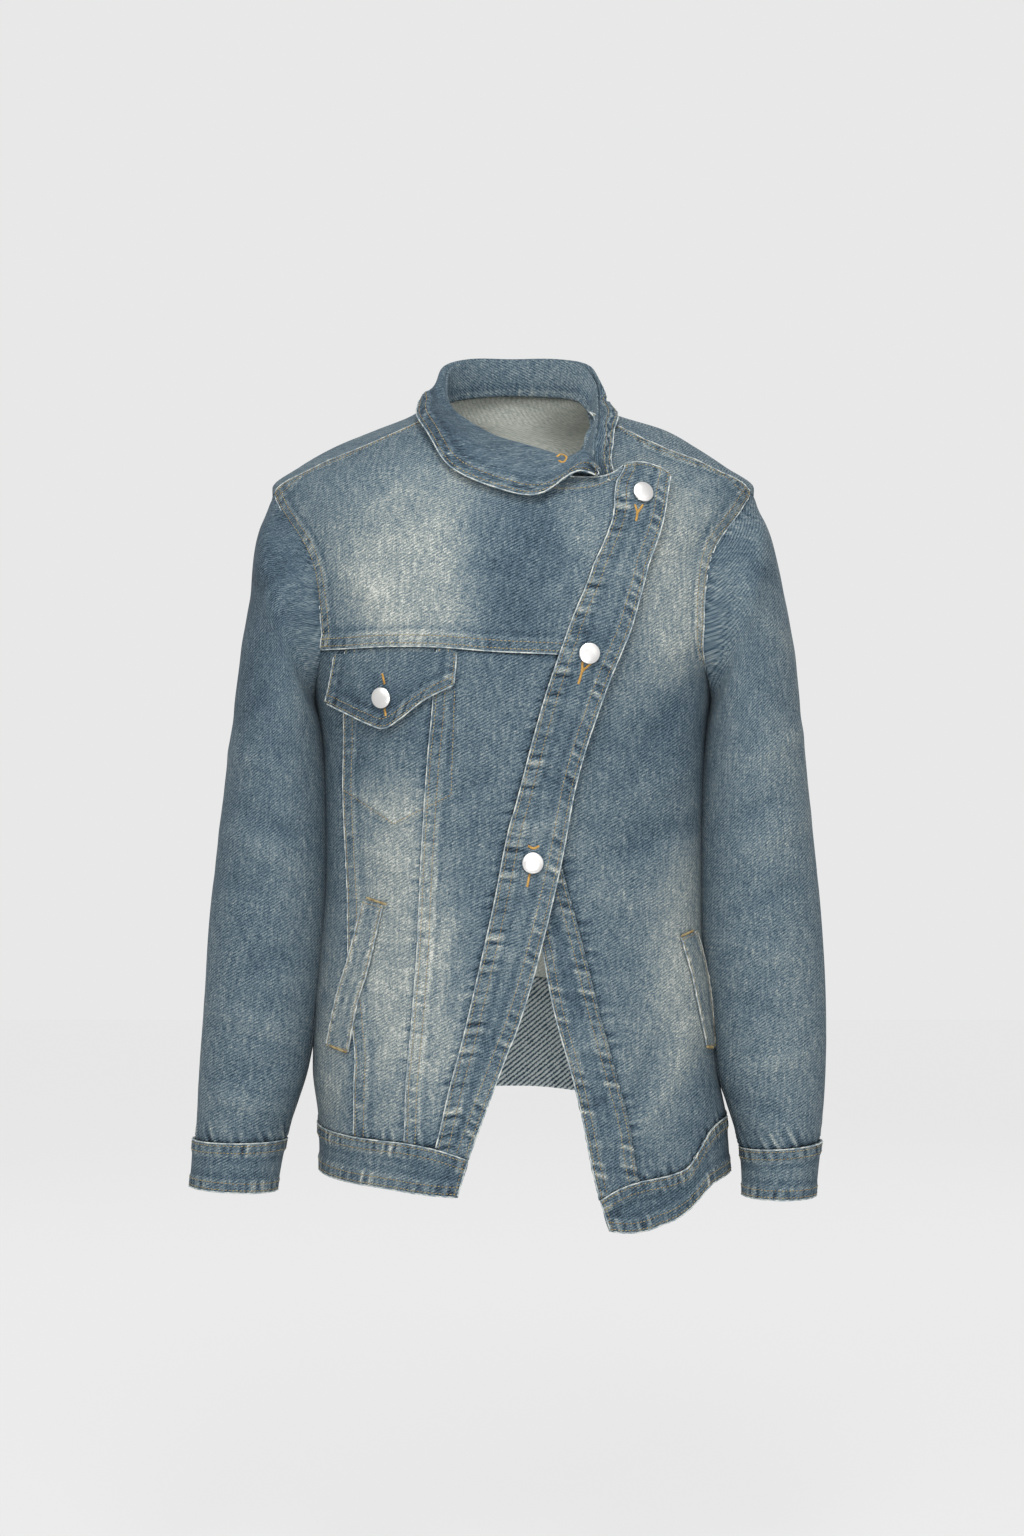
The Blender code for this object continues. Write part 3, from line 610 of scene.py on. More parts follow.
RIGHT_BAND_EDGE = [(130, -61), (128, -76), (119, -115), (99, -182), (77, -238), (53, -314),
                   (40, -383), (25, -448), (12, -496), (-11, -559), (-35, -625)]
RIGHT_BAND_TOP = [(92, -54), (107, -52), (120, -55), (130, -61)]
# Hem bands: across and height of a point of the seam, and of the lower edge below it.
RIGHT_HEM = [(-153, -609, -154, -648), (-132, -611, -132, -650), (-109, -612, -109, -651),
             (-88, -613, -88, -653), (-62, -617, -66, -655), (-35, -625, -44, -656)]


def right_lift(angle, height):
    """The right front rides up over the left one towards the middle, below the shoulder seam."""
    return LAP * smooth_step(-58, -12, angle) * smooth_step(20, 50, -height)


def stretch(line, start, end, axis):
    """The stretch of a line between two values of one of its coordinates."""
    fine = line_at(line, np.linspace(0, 1, 400))
    values = np.linspace(start, end, 14)
    return [fine[np.argmin(np.abs(fine[:, axis] - value))] for value in values]


armhole_right = [(-angle, height) for angle, height in ARMHOLE_FRONT]
yoke_line = front_line(YOKE_SEAM)
outer_seam, inner_seam = front_line(OUTER_LONG_SEAM), front_line(INNER_LONG_SEAM)
band_seam, band_edge = front_line(RIGHT_BAND_SEAM), front_line(RIGHT_BAND_EDGE)
hem_right = [(-90, RIGHT_SIDE_HEM[0])] + front_line([row[:2] for row in RIGHT_HEM])
low_right = [(-90, RIGHT_SIDE_HEM[1])] + front_line([row[2:] for row in RIGHT_HEM])
side_right = [(-90, -240), (-90, RIGHT_SIDE_HEM[0])]
armhole_above = stretch(armhole_right, armhole_right[0][1], yoke_line[0][1], 1)[:-1] + [yoke_line[0]]
armhole_below = [yoke_line[0]] + armhole_right[-2:]

RIGHT_FADES = [
    # centre x, centre z, half width, half height, amount
    (-86, -130, 62, 72, 1.25), (-72, -185, 50, 40, 0.6), (-20, -60, 40, 22, 0.5),
    (5, -150, 40, 75, -0.75), (55, -120, 26, 60, 0.35), (-165, -150, 26, 70, 0.2),
    (-94, -410, 38, 95, 1.3), (-96, -530, 36, 80, 0.9), (-58, -500, 30, 80, 0.8),
    (-90, -330, 60, 22, 0.35), (-100, -290, 40, 40, -0.35), (-30, -330, 36, 80, -0.15),
    (-152, -300, 16, 180, -0.2), (-30, -470, 22, 60, -0.3), (-150, -560, 14, 50, 0.4),
    (20, -215, 30, 20, 0.2), (-156, -520, 18, 90, 0.5)]
RIGHT_CREASES = [
    # start x, z, end x, z, half width, depth, wear
    (-150, -232, -118, -208, 7, 0.8, 0.3),
    (-60, -330, -10, -300, 9, -0.9, -0.3),
    (-70, -470, -30, -420, 9, 0.9, 0.3),
    (-66, -540, -48, -460, 7, -0.8, -0.35),
    (-128, -370, -88, -390, 8, 0.8, 0.25),
    (-126, -470, -92, -440, 8, -0.7, -0.25),
    (-122, -560, -95, -530, 7, 0.7, 0.3),
    (20, -75, 60, -150, 10, -1.2, -0.3),
    (-20, -90, 30, -190, 12, 1.0, 0.2),
    (-60, -90, -130, -110, 12, -0.9, -0.2),
    (-150, -130, -90, -190, 14, 1.1, 0.25),
    (-139, -322, -97, -349, 2.6, 0.7, 0.35),
    (-97, -349, -50, -326, 2.6, 0.7, 0.35),
    (-139, -327, -97, -354, 2.6, -0.5, -0.45),
    (-97, -354, -50, -331, 2.6, -0.5, -0.45),
]

yoke = panel("yoke_front_right", joined(shoulder_right[::-1], front_line(RIGHT_NECKLINE)), yoke_line,
             armhole_above, stretch(band_seam, band_seam[0][1], yoke_line[-1][1], 1), right_lift,
             fades=(2, 1, 3, 1))
fade(yoke, RIGHT_FADES)
crease(yoke, RIGHT_CREASES)
sewn_edge(yoke, "bottom", wide=12, high=1.0, pucker=0.30, seed=1.3)
sewn_edge(yoke, "left", wide=12, high=0.5, pucker=0.30, white=0.4, seed=4.1)
sewn_edge(yoke, "top", wide=12, high=0.5, pucker=0.15, white=0.8, seed=2.2, end=0.5)
sewn_edge(yoke, "top", wide=14, high=0.4, pucker=0.15, white=0.5, seed=2.9, start=0.5)
finish_cloth(yoke, anchor="body")
make_folds("folds_yoke", [edge_of(yoke, "bottom"), edge_of(yoke, "top"), edge_of(yoke, "left")])
make_stitches("stitches_yoke", [
    row_along(yoke, "bottom", 3.2), row_along(yoke, "bottom", 9.6),
    row_along(yoke, "left", 3.0), row_along(yoke, "left", 10.0),
    row_along(yoke, "top", 2.6, end=0.49), row_along(yoke, "top", 9.0, end=0.49),
    row_along(yoke, "top", 14.0, start=0.52)])

side_panel = panel("front_right_side", yoke_line[:2], hem_right[:3], joined(armhole_below, side_right),
                   outer_seam, right_lift)
fade(side_panel, RIGHT_FADES)
crease(side_panel, RIGHT_CREASES)
sewn_edge(side_panel, "top", wide=3, high=-0.7, pucker=0.1, white=0.0, seed=5.0)
sewn_edge(side_panel, "right", wide=3, high=-0.7, pucker=0.2, white=0.0, seed=3.0)
finish_cloth(side_panel, anchor="body")

middle_panel = panel("front_right_middle", yoke_line[1:4], hem_right[2:5], outer_seam, inner_seam,
                     right_lift)
fade(middle_panel, RIGHT_FADES)
crease(middle_panel, RIGHT_CREASES)
sewn_edge(middle_panel, "top", wide=3, high=-0.7, pucker=0.1, white=0.0, seed=6.0)
sewn_edge(middle_panel, "right", wide=3, high=-0.7, pucker=0.3, white=0.0, seed=3.6)
sewn_edge(middle_panel, "left", wide=14, high=0.8, pucker=0.22, white=0.5, seed=7.7)
sewn_edge(middle_panel, "bottom", wide=3, high=-0.7, pucker=0.4, white=0.0, seed=8.7)
finish_cloth(middle_panel, anchor="body")

centre_panel = panel("front_right_centre", yoke_line[3:], hem_right[4:6], inner_seam,
                     stretch(band_seam, yoke_line[-1][1], band_seam[-1][1], 1), right_lift)
fade(centre_panel, RIGHT_FADES)
crease(centre_panel, RIGHT_CREASES)
sewn_edge(centre_panel, "top", wide=3, high=-0.7, pucker=0.1, white=0.0, seed=6.6)
sewn_edge(centre_panel, "left", wide=13, high=0.8, pucker=0.22, white=0.5, seed=9.1)
sewn_edge(centre_panel, "right", wide=3, high=-0.8, pucker=0.5, white=0.0, seed=1.9)
sewn_edge(centre_panel, "bottom", wide=3, high=-0.7, pucker=0.4, white=0.0, seed=8.8)
finish_cloth(centre_panel, anchor="body")
make_folds("folds_right_front", [edge_of(middle_panel, "left"), edge_of(centre_panel, "left")], 0.55)
make_stitches("stitches_right_front", [
    row_along(middle_panel, "left", 2.2), row_along(middle_panel, "left", 11.6),
    row_along(centre_panel, "left", 3.0), row_along(centre_panel, "left", 10.2)])

# ---------------------------------------------------------------------------------------------
# Right buttonhole band: denim folded double, cut on the slant and sewn on with two rows. The bias
# makes it shrink in the wash, so it ruffles along its seam far more than the other seams do.
# ---------------------------------------------------------------------------------------------
FOLDED_CLOTH = 2.4

band = panel("placket_right", front_line(RIGHT_BAND_TOP), hem_right[5:], band_seam, band_edge,
             right_lift, spacing=2.2)
fade(band, [(95, -150, 30, 60, 0.1), (60, -260, 30, 60, -0.2), (20, -420, 30, 70, 0.2),
            (-20, -560, 30, 60, 0.0)])
crease(band, [(80, -92, 118, -104, 6, -1.0, -0.4), (66, -150, 108, -140, 7, 1.0, 0.4),
              (54, -190, 92, -205, 6, -1.1, -0.4), (30, -250, 70, -268, 7, 1.0, 0.35),
              (16, -300, 50, -330, 7, -1.0, -0.35), (0, -360, 40, -352, 7, 1.1, 0.4),
              (-8, -420, 30, -400, 6, -1.0, -0.4), (-24, -470, 15, -455, 7, 1.0, 0.35),
              (-36, -530, 0, -520, 7, -1.1, -0.4), (-50, -590, -20, -570, 7, 1.0, 0.35)])
sewn_edge(band, "left", wide=13, high=0.8, pucker=1.1, white=1.0, reach=22, seed=3.3)
sewn_edge(band, "right", wide=12, high=0.5, pucker=0.7, white=0.6, reach=13, seed=5.9)
sewn_edge(band, "top", wide=10, high=0.3, pucker=0.2, white=0.7, seed=2.4)
finish_cloth(band, FOLDED_CLOTH, lining=outside)
make_folds("folds_band_right", [edge_of(band, side) for side in ("left", "right", "top")])
make_stitches("stitches_band_right", [
    row_along(band, "left", 2.8), row_along(band, "left", 10.4),
    row_along(band, "right", 3.4), row_along(band, "right", 11.0), row_along(band, "top", 3.0)])

# ---------------------------------------------------------------------------------------------
# Right hem band: a folded strip sewn over the lower edges of the right front's panels.
# ---------------------------------------------------------------------------------------------
def hem_rows(band):
    """Two stitch rows along each long side of a hem band."""
    return [row_along(band, side, inset)
            for side, inset in (("top", 2.4), ("top", 8.6), ("bottom", 2.6), ("bottom", 8.8))]


hem_band_right = panel("waistband_front_right", hem_right, low_right, [hem_right[0], low_right[0]],
                       [hem_right[-1], low_right[-1]], right_lift, spacing=2.2)
fade(hem_band_right, [(-120, -630, 40, 20, 0.3), (-70, -635, 30, 20, -0.2)])
sewn_edge(hem_band_right, "top", wide=11, high=1.0, pucker=0.8, white=0.9, tight=1.3, seed=4.4)
sewn_edge(hem_band_right, "bottom", wide=12, high=0.6, pucker=0.7, white=1.0, seed=6.2)
sewn_edge(hem_band_right, "right", wide=9, high=0.3, pucker=0.3, white=0.8, seed=7.2)
finish_cloth(hem_band_right, FOLDED_CLOTH, lining=outside)
make_folds("folds_hem_right", [edge_of(hem_band_right, side) for side in ("top", "bottom", "right")])
make_stitches("stitches_hem_right", hem_rows(hem_band_right) + [row_along(hem_band_right, "right", 3.0)])

# ---------------------------------------------------------------------------------------------
# Left front: one panel of denim under the right one, with its own slanted button band and hem
# band. It hangs a little lower, because the front is crossed over.
# ---------------------------------------------------------------------------------------------
LEFT_NECKLINE = [(64, -4), (63, -22), (58, -40), (42, -57), (15, -65), (-28, -68)]
LEFT_BAND_SEAM = [(-28, -68), (-24, -110), (-10, -170), (8, -240), (26, -320), (42, -387),
                  (60, -453), (73, -505), (92, -573), (104, -634), (107, -646)]
LEFT_BAND_EDGE = [(-66, -68), (-60, -110), (-46, -170), (-28, -240), (-9, -320), (8, -387),
                  (24, -450), (35, -505), (53, -569), (66, -631), (73, -660)]
LEFT_HEM = [(73, -660, 82, -686), (90, -651, 98, -688), (107, -646, 113, -687),
            (120, -644, 126, -683), (133, -642, 138, -679), (147, -637, 149, -672),
            (158, -622, 159, -662), (167, -608, 167, -654), (177, -602, 177, -650)]


def left_lift(angle, height):
    """The left front lies deeper where the right one covers it."""
    return -LAP * (1 - smooth_step(34, 66, angle)) * smooth_step(20, 50, -height)


left_seam, left_edge = front_line(LEFT_BAND_SEAM), front_line(LEFT_BAND_EDGE)
hem_left = front_line([row[:2] for row in LEFT_HEM]) + [(90, LEFT_SIDE_HEM[0])]
low_left = front_line([row[2:] for row in LEFT_HEM]) + [(90, LEFT_SIDE_HEM[1])]
left_top = joined(front_line(LEFT_NECKLINE)[::-1], shoulder_left)
left_top[:, 0] = np.maximum.accumulate(left_top[:, 0])
left_front = panel("front_left", left_top, hem_left[2:], left_seam, joined(ARMHOLE_FRONT, side_left),
                   left_lift, fades=(3, 1, 1, 3))
fade(left_front, [(136, -140, 42, 88, 1.1), (178, -140, 18, 60, 0.3), (104, -300, 60, 46, -0.15),
                  (150, -280, 40, 40, -0.35), (146, -462, 30, 95, 1.15), (100, -430, 34, 60, 0.0),
                  (110, -560, 30, 60, 0.45), (160, -600, 20, 40, -0.3), (80, -90, 40, 40, 0.6)])
crease(left_front, [(186, -100, 130, -150, 12, -1.3, -0.3), (188, -150, 120, -215, 14, 1.4, 0.35),
                    (180, -215, 110, -290, 12, -1.5, -0.4), (165, -290, 95, -330, 10, 1.0, 0.2),
                    (160, -350, 80, -380, 12, -1.2, -0.4), (120, -420, 70, -400, 10, 1.0, 0.3),
                    (150, -520, 110, -600, 9, 1.1, 0.4), (128, -520, 100, -610, 8, -1.0, -0.4)])
sewn_edge(left_front, "right", wide=12, high=0.5, pucker=0.25, white=0.5, seed=3.9, end=0.31)
sewn_edge(left_front, "top", wide=12, high=1.4, pucker=0.9, white=0.8, reach=12, seed=4.7,
          start=0.42, tight=1.4)
sewn_edge(left_front, "left", wide=3, high=-0.7, pucker=0.5, white=0.0, reach=20, seed=5.2)
sewn_edge(left_front, "bottom", wide=3, high=-0.7, pucker=0.6, white=0.0, seed=1.2)
finish_cloth(left_front, anchor="body")
make_folds("folds_left_front", [edge_of(left_front, "top", 0.43), edge_of(left_front, "right", 0, 0.31)])
make_stitches("stitches_left_front", [
    row_along(left_front, "right", 3.0, end=0.30), row_along(left_front, "right", 10.0, end=0.30),
    row_along(left_front, "top", 2.6, start=0.44), row_along(left_front, "top", 9.0, start=0.44)])

left_band = panel("placket_left", [left_edge[0], left_seam[0]], hem_left[:3], left_edge, left_seam,
                  left_lift, spacing=2.2)
fade(left_band, [(60, -560, 30, 60, 0.1)])
crease(left_band, [(26, -470, 56, -455, 6, 1.0, 0.4), (30, -500, 66, -486, 6, -1.0, -0.4),
                   (44, -545, 80, -530, 6, 1.0, 0.4), (52, -585, 92, -570, 6, -1.0, -0.4),
                   (62, -620, 98, -606, 6, 1.0, 0.35)])
sewn_edge(left_band, "left", wide=10, high=0.5, pucker=0.9, white=0.9, reach=16, seed=6.8)
sewn_edge(left_band, "right", wide=11, high=0.8, pucker=0.9, white=0.8, reach=18, seed=8.3)
finish_cloth(left_band, FOLDED_CLOTH, lining=outside)
make_folds("folds_band_left", [edge_of(left_band, "left")])
make_stitches("stitches_band_left", [
    row_along(left_band, "left", 2.4, start=0.4), row_along(left_band, "left", 7.6, start=0.4),
    row_along(left_band, "right", 2.6, start=0.4), row_along(left_band, "right", 9.0, start=0.4)])

hem_band_left = panel("waistband_front_left", hem_left, low_left, [hem_left[0], low_left[0]],
                      [hem_left[-1], low_left[-1]], left_lift, spacing=2.2)
fade(hem_band_left, [(120, -665, 40, 20, -0.5)])
sewn_edge(hem_band_left, "top", wide=11, high=0.9, pucker=0.8, white=0.9, tight=1.3, seed=5.5)
sewn_edge(hem_band_left, "bottom", wide=12, high=0.6, pucker=0.7, white=1.0, seed=7.4)
sewn_edge(hem_band_left, "left", wide=8, high=0.3, pucker=0.3, white=0.8, seed=1.4)
finish_cloth(hem_band_left, FOLDED_CLOTH, lining=outside)
make_folds("folds_hem_left", [edge_of(hem_band_left, side) for side in ("top", "bottom", "left")])
make_stitches("stitches_hem_left", hem_rows(hem_band_left) + [row_along(hem_band_left, "left", 3.0)])

# ---------------------------------------------------------------------------------------------
# Back hem band: its inner face shows between the two fronts. Folded denim like the front ones.
# ---------------------------------------------------------------------------------------------
# The inner face sits in the jacket's shade, so it gets paler tones than the outside denim: painted light
# that brightens it.
BAND_TONES_PAINTED_LIGHT = [(0.0, "#3d5262"), (0.3, "#71828c"), (0.6, "#93a1a6"), (1.0, "#c7ccc9")]
hem_band_back = panel("waistband_back", [row[:2] for row in BACK_HEM],
                      [(row[0], row[2]) for row in BACK_HEM],
                      [(90, LEFT_SIDE_HEM[0]), (90, LEFT_SIDE_HEM[1])],
                      [(270, RIGHT_SIDE_HEM[0]), (270, RIGHT_SIDE_HEM[1])], spacing=2.6)
sewn_edge(hem_band_back, "top", wide=11, high=0.9, pucker=0.8, white=0.9, seed=2.5)
sewn_edge(hem_band_back, "bottom", wide=12, high=0.6, pucker=0.7, white=1.0, seed=3.4)
band_inside = denim("denim_band_inside", BAND_TONES_PAINTED_LIGHT, "#c9cdca", -52.0, 0.75, "#6f7f8a", 3.4)
finish_cloth(hem_band_back, FOLDED_CLOTH, "middle", band_inside)
make_folds("folds_hem_back", [edge_of(hem_band_back, "top"), edge_of(hem_band_back, "bottom")])
make_stitches("stitches_hem_back", hem_rows(hem_band_back))

# ---------------------------------------------------------------------------------------------
# Chest pocket: the pocket bag shows only as its stitched outline on the panels. A pointed flap
# hangs over its mouth from the yoke seam, held by one button.
# ---------------------------------------------------------------------------------------------
POCKET_OUTLINE = [(-141, -259), (-142, -322), (-126, -332), (-98, -350), (-70, -336), (-50, -326),
                  (-47, -240)]
FLAP_TOP = [(-147, -209), (-95, -208), (-44, -209)]
FLAP_EDGE = [(-153, -249), (-133, -259), (-116, -267), (-103, -271), (-89, -263), (-70, -248),
             (-46, -236)]
FLAP_GAP = 0.8
FLAP_LIFT = 3.0
OUTLINE_STEP = 2.0


def on_cloth(cloths, points):
    """Places and normals on the shown faces of some cloths, at points seen from the front."""
    grid = np.concatenate([(c.points + c.normals * c.rise[..., None]).reshape(-1, 3) for c in cloths])
    faces = np.concatenate([c.normals.reshape(-1, 3) for c in cloths])
    grid, faces = grid[faces[:, 1] < 0], faces[faces[:, 1] < 0]
    places, normals = [], []
    for x, z in points:
        nearest = np.argmin((grid[:, 0] - x) ** 2 + (grid[:, 2] - z) ** 2)
        at, face = grid[nearest], faces[nearest]
        y = at[1] - ((x - at[0]) * face[0] + (z - at[2]) * face[2]) / face[1]
        places.append((x, y, z))
        normals.append(face)
    return np.array(places), np.array(normals)


def drawn_row(cloths, corners):
    """A stitch row through corners seen from the front, laid on the cloths."""
    line = np.concatenate([np.linspace(a, b, max(2, int(math.dist(a, b) / OUTLINE_STEP)))
                           for a, b in zip(corners, corners[1:])])
    return follow(*on_cloth(cloths, line))


def flap_lift(angle, height):
    fall = smooth_step(-212, -271, height)
    return right_lift(angle, height) + CLOTH + FLAP_GAP + FLAP_LIFT * fall


flap_top, flap_edge = front_line(FLAP_TOP), front_line(FLAP_EDGE)
flap = panel("pocket_flap", flap_top, flap_edge, [flap_top[0], flap_edge[0]],
             [flap_top[-1], flap_edge[-1]], flap_lift, spacing=1.6)
fade(flap, [(-70, -235, 30, 20, 0.0), (-120, -250, 40, 30, -0.7)])
crease(flap, [(-140, -215, -120, -245, 7, 0.8, 0.3), (-70, -212, -80, -245, 8, -0.8, -0.3)])
sewn_edge(flap, "bottom", wide=11, high=0.5, pucker=0.45, white=1.0, seed=2.7)
sewn_edge(flap, "left", wide=8, high=0.3, pucker=0.3, white=0.9, seed=3.8)
sewn_edge(flap, "right", wide=8, high=0.3, pucker=0.3, white=0.9, seed=4.9)
finish_cloth(flap)
make_folds("folds_flap", [edge_of(flap, side) for side in ("bottom", "left", "right")])
make_stitches("stitches_flap", [
    row_along(flap, "bottom", 2.4), row_along(flap, "bottom", 8.4),
    row_along(flap, "left", 2.2, end=0.9), row_along(flap, "right", 2.2, end=0.9)])
right_panels = [side_panel, middle_panel, centre_panel]
make_stitches("stitches_pocket", [drawn_row(right_panels, POCKET_OUTLINE)])

# ---------------------------------------------------------------------------------------------
# Hand pockets: a slanted welt of doubled denim at each side, stitched round, with a bartack of
# dense thread at its upper end.
# ---------------------------------------------------------------------------------------------
WELT_RIGHT = [((-123, -414), (-105, -418)), ((-136, -463), (-119, -475)),
              ((-146, -495), (-127, -500)), ((-155, -538), (-135, -541))]
WELT_LEFT = [((141, -446), (155, -441)), ((149, -475), (163, -470)), ((155, -502), (168, -500)),
             ((163, -540), (172, -542))]
WELT_GAP = 0.6


def make_welt(name, rows, front_lift, seed):
    outer, inner = front_line([row[0] for row in rows]), front_line([row[1] for row in rows])

    def raised(angle, height):
        return front_lift(angle, height) + CLOTH + WELT_GAP
    welt = panel(name, [outer[0], inner[0]], [outer[-1], inner[-1]], outer, inner, raised, spacing=1.6)
    welt.wear_and_shade += 0.9
    sewn_edge(welt, "left", wide=4, high=0.3, pucker=0.35, white=0.7, reach=8, seed=seed)
    sewn_edge(welt, "right", wide=4, high=0.3, pucker=0.35, white=0.7, reach=8, seed=seed + 1)
    finish_cloth(welt)
    make_folds("folds_" + name, [edge_of(welt, "left"), edge_of(welt, "right")])
    make_stitches("stitches_" + name, [row_along(welt, "left", 2.0), row_along(welt, "right", 2.0),
                                       row_along(welt, "top", 2.0), row_along(welt, "bottom", 2.0)])
    return welt


welt_right = make_welt("welt_right", WELT_RIGHT, right_lift, 2.2)
welt_left = make_welt("welt_left", WELT_LEFT, left_lift, 5.1)

# ---------------------------------------------------------------------------------------------
# Sleeves: each is cut in two, a wide top sleeve and a narrow under sleeve, set into the armhole
# and tapered to the cuff. Washing leaves slack folds that run part of the way round it, from
# the cap down to the cuff.
# ---------------------------------------------------------------------------------------------
RIGHT_SLEEVE = [
    # outer x, outer z, inner x, inner z, half depth, forward
    (-215, -99, -176, -252, 68, 2),
    (-224, -160, -170, -272, 64, 3),
    (-234, -228, -167, -300, 61, 4),
    (-241, -285, -165, -332, 58, 5),
    (-250, -362, -165, -385, 54, 7),
    (-258, -435, -168, -450, 50, 9),
    (-262, -503, -174, -505, 46, 11),
    (-266, -560, -183, -560, 43, 13),
    (-268, -604, -191, -604, 40, 15),
    (-269, -621, -194, -621, 38, 15),
]
LEFT_SLEEVE = [
    (215, -92, 178, -252, 68, 2),
    (228, -135, 174, -274, 64, 3),
    (240, -200, 171, -300, 61, 4),
    (247, -262, 169, -332, 58, 5),
    (255, -345, 168, -385, 54, 7),
    (263, -425, 169, -450, 50, 9),
    (267, -495, 177, -505, 46, 11),
    (267, -555, 183, -560, 43, 13),
    (264, -602, 191, -606, 41, 15),
    (261, -622, 196, -628, 40, 15),
]
RIGHT_CUFF = [(-271, -620, -194, -620, 39.5, 15), (-274, -660, -202, -664, 37, 16)]
LEFT_CUFF = [(263, -622, 196, -627, 41.5, 15), (258, -668, 198, -668, 40, 16)]
SLEEVE_SEAMS = (165.0, 270.0)
SLACK = 8.0
SLEEVE_LENGTH_POINTS = 215
CUFF_STEPS = 141
CUFF_ROWS = 20
CUFF_START = 200.0
TOP_POINTS = 92
UNDER_POINTS = 40


def ring_points(row, around):
    outer_x, outer_z, inner_x, inner_z, depth, forward = row
    outer_x += math.copysign(CLOTH, outer_x)
    inner_x -= math.copysign(SLACK * float(smooth_step(-618, -575, inner_z)) + CLOTH, inner_x)
    swing, front = np.cos(np.radians(around)), np.sin(np.radians(around))
    return np.stack([(outer_x + inner_x) / 2 + (outer_x - inner_x) / 2 * swing,
                     -forward - depth * front,
                     (outer_z + inner_z) / 2 + (outer_z - inner_z) / 2 * swing], axis=-1)


def armhole_points(side, around, lift):
    turned = around % 360
    shares = np.where(turned <= 180, turned / 180, (360 - turned) / 180)
    lines = [line_at(line, shares) for line in (ARMHOLE_FRONT, ARMHOLE_BACK)]
    place = np.where((turned <= 180)[:, None], lines[0], lines[1])
    return body_point(side * place[:, 0], place[:, 1], lift)


def grid_normals(points):
    across, down = np.gradient(points, axis=1), np.gradient(points, axis=0)
    return unit(np.cross(down, across))


def sleeve_cloth(name, side, sections, start, end, columns):
    """A strip of the sleeve between two turned angles, from the armhole down to the cuff."""
    around = np.linspace(end, start, columns + 1) if side > 0 else np.linspace(start, end, columns + 1)
    stations = np.stack([armhole_points(side, around, -0.4)]
                        + [ring_points(row, around) for row in sections])
    shares = np.linspace(0, 1, SLEEVE_LENGTH_POINTS)
    points = np.stack([line_at(stations[:, i], shares) for i in range(columns + 1)], axis=1)
    return new_cloth(name, points, grid_normals(points))


def rings(cloth, side, rows):
    """Slack folds that run part of the way round a sleeve, highest at their own angle."""
    x, y, z = (cloth.points[..., k] for k in range(3))
    for height, slant, centre, spread, width, depth, wear_and_shade in rows:
        across = (np.abs(x) - 215) / 40
        off = z - height - slant * across
        front = cloth.normals[..., 1] * (-1)
        shape = np.exp(-(off / width) ** 2) * np.exp(-((across - centre) / spread) ** 2)
        shape = shape * np.clip(front + 0.6, 0, 1)
        cloth.rise += depth * shape
        cloth.wear_and_shade += wear_and_shade * shape


RIGHT_RINGS = [
    # height, slant, centre, spread, half width, depth, wear
    (-150, -30, -0.4, 0.7, 10, -1.8, -0.3), (-185, -36, -0.2, 0.8, 12, 1.6, 0.3),
    (-250, -22, 0.2, 0.7, 10, -1.4, -0.3), (-300, 14, 0.3, 0.8, 9, 1.3, 0.3),
    (-345, 20, -0.2, 0.7, 9, -1.6, -0.35), (-372, 16, 0.0, 0.8, 10, 1.6, 0.3),
    (-405, 10, 0.4, 0.6, 8, -1.2, -0.3), (-470, -14, -0.2, 0.7, 9, -1.2, -0.25),
    (-520, 12, 0.2, 0.8, 8, 1.2, 0.3), (-560, -10, -0.1, 0.8, 8, -1.4, -0.3),
    (-588, 8, 0.3, 0.8, 7, 1.3, 0.35)]
LEFT_RINGS = [
    (-140, -34, -0.3, 0.7, 10, -1.8, -0.35), (-180, -40, 0.0, 0.8, 12, 1.6, 0.3),
    (-240, -24, 0.2, 0.7, 10, -1.5, -0.3), (-290, 18, 0.3, 0.8, 9, 1.2, 0.3),
    (-335, 18, -0.2, 0.7, 9, -1.5, -0.3), (-365, 22, 0.1, 0.8, 10, 1.5, 0.3),
    (-410, 12, 0.3, 0.6, 8, -1.3, -0.3), (-460, -12, 0.1, 0.7, 9, 1.1, 0.25),
    (-510, -16, -0.2, 0.8, 8, -1.2, -0.3), (-555, 12, 0.2, 0.8, 8, 1.2, 0.3),
    (-592, -8, 0.0, 0.9, 7, -1.4, -0.35)]


def make_sleeve(side, name, sections, ring_rows, fades, seed):
    top = sleeve_cloth(name + "_top", side, sections, SLEEVE_SEAMS[1] - 360, SLEEVE_SEAMS[0], TOP_POINTS)
    under = sleeve_cloth(name + "_under", side, sections, *SLEEVE_SEAMS, UNDER_POINTS)
    for cloth in (top, under):
        rings(cloth, side, ring_rows)
        fade(cloth, fades)
        sewn_edge(cloth, "top", wide=3, high=-0.3, pucker=0.5, white=0.0, reach=18, seed=seed)
        sewn_edge(cloth, "bottom", wide=3, high=-0.8, pucker=0.9, white=0.0, reach=26, seed=seed + 2)
    back_side = "right" if side > 0 else "left"
    sewn_edge(top, back_side, wide=11, high=0.6, pucker=0.35, white=0.7, seed=seed + 3)
    sewn_edge(under, "left" if side > 0 else "right", wide=3, high=-0.3, pucker=0.2, white=0.0,
              seed=seed + 3)
    finish_cloth(top, anchor="middle")
    finish_cloth(under, anchor="middle")
    make_folds("folds_" + name, [edge_of(top, back_side)])
    make_stitches("stitches_" + name, [row_along(top, back_side, 2.8), row_along(top, back_side, 9.2)])


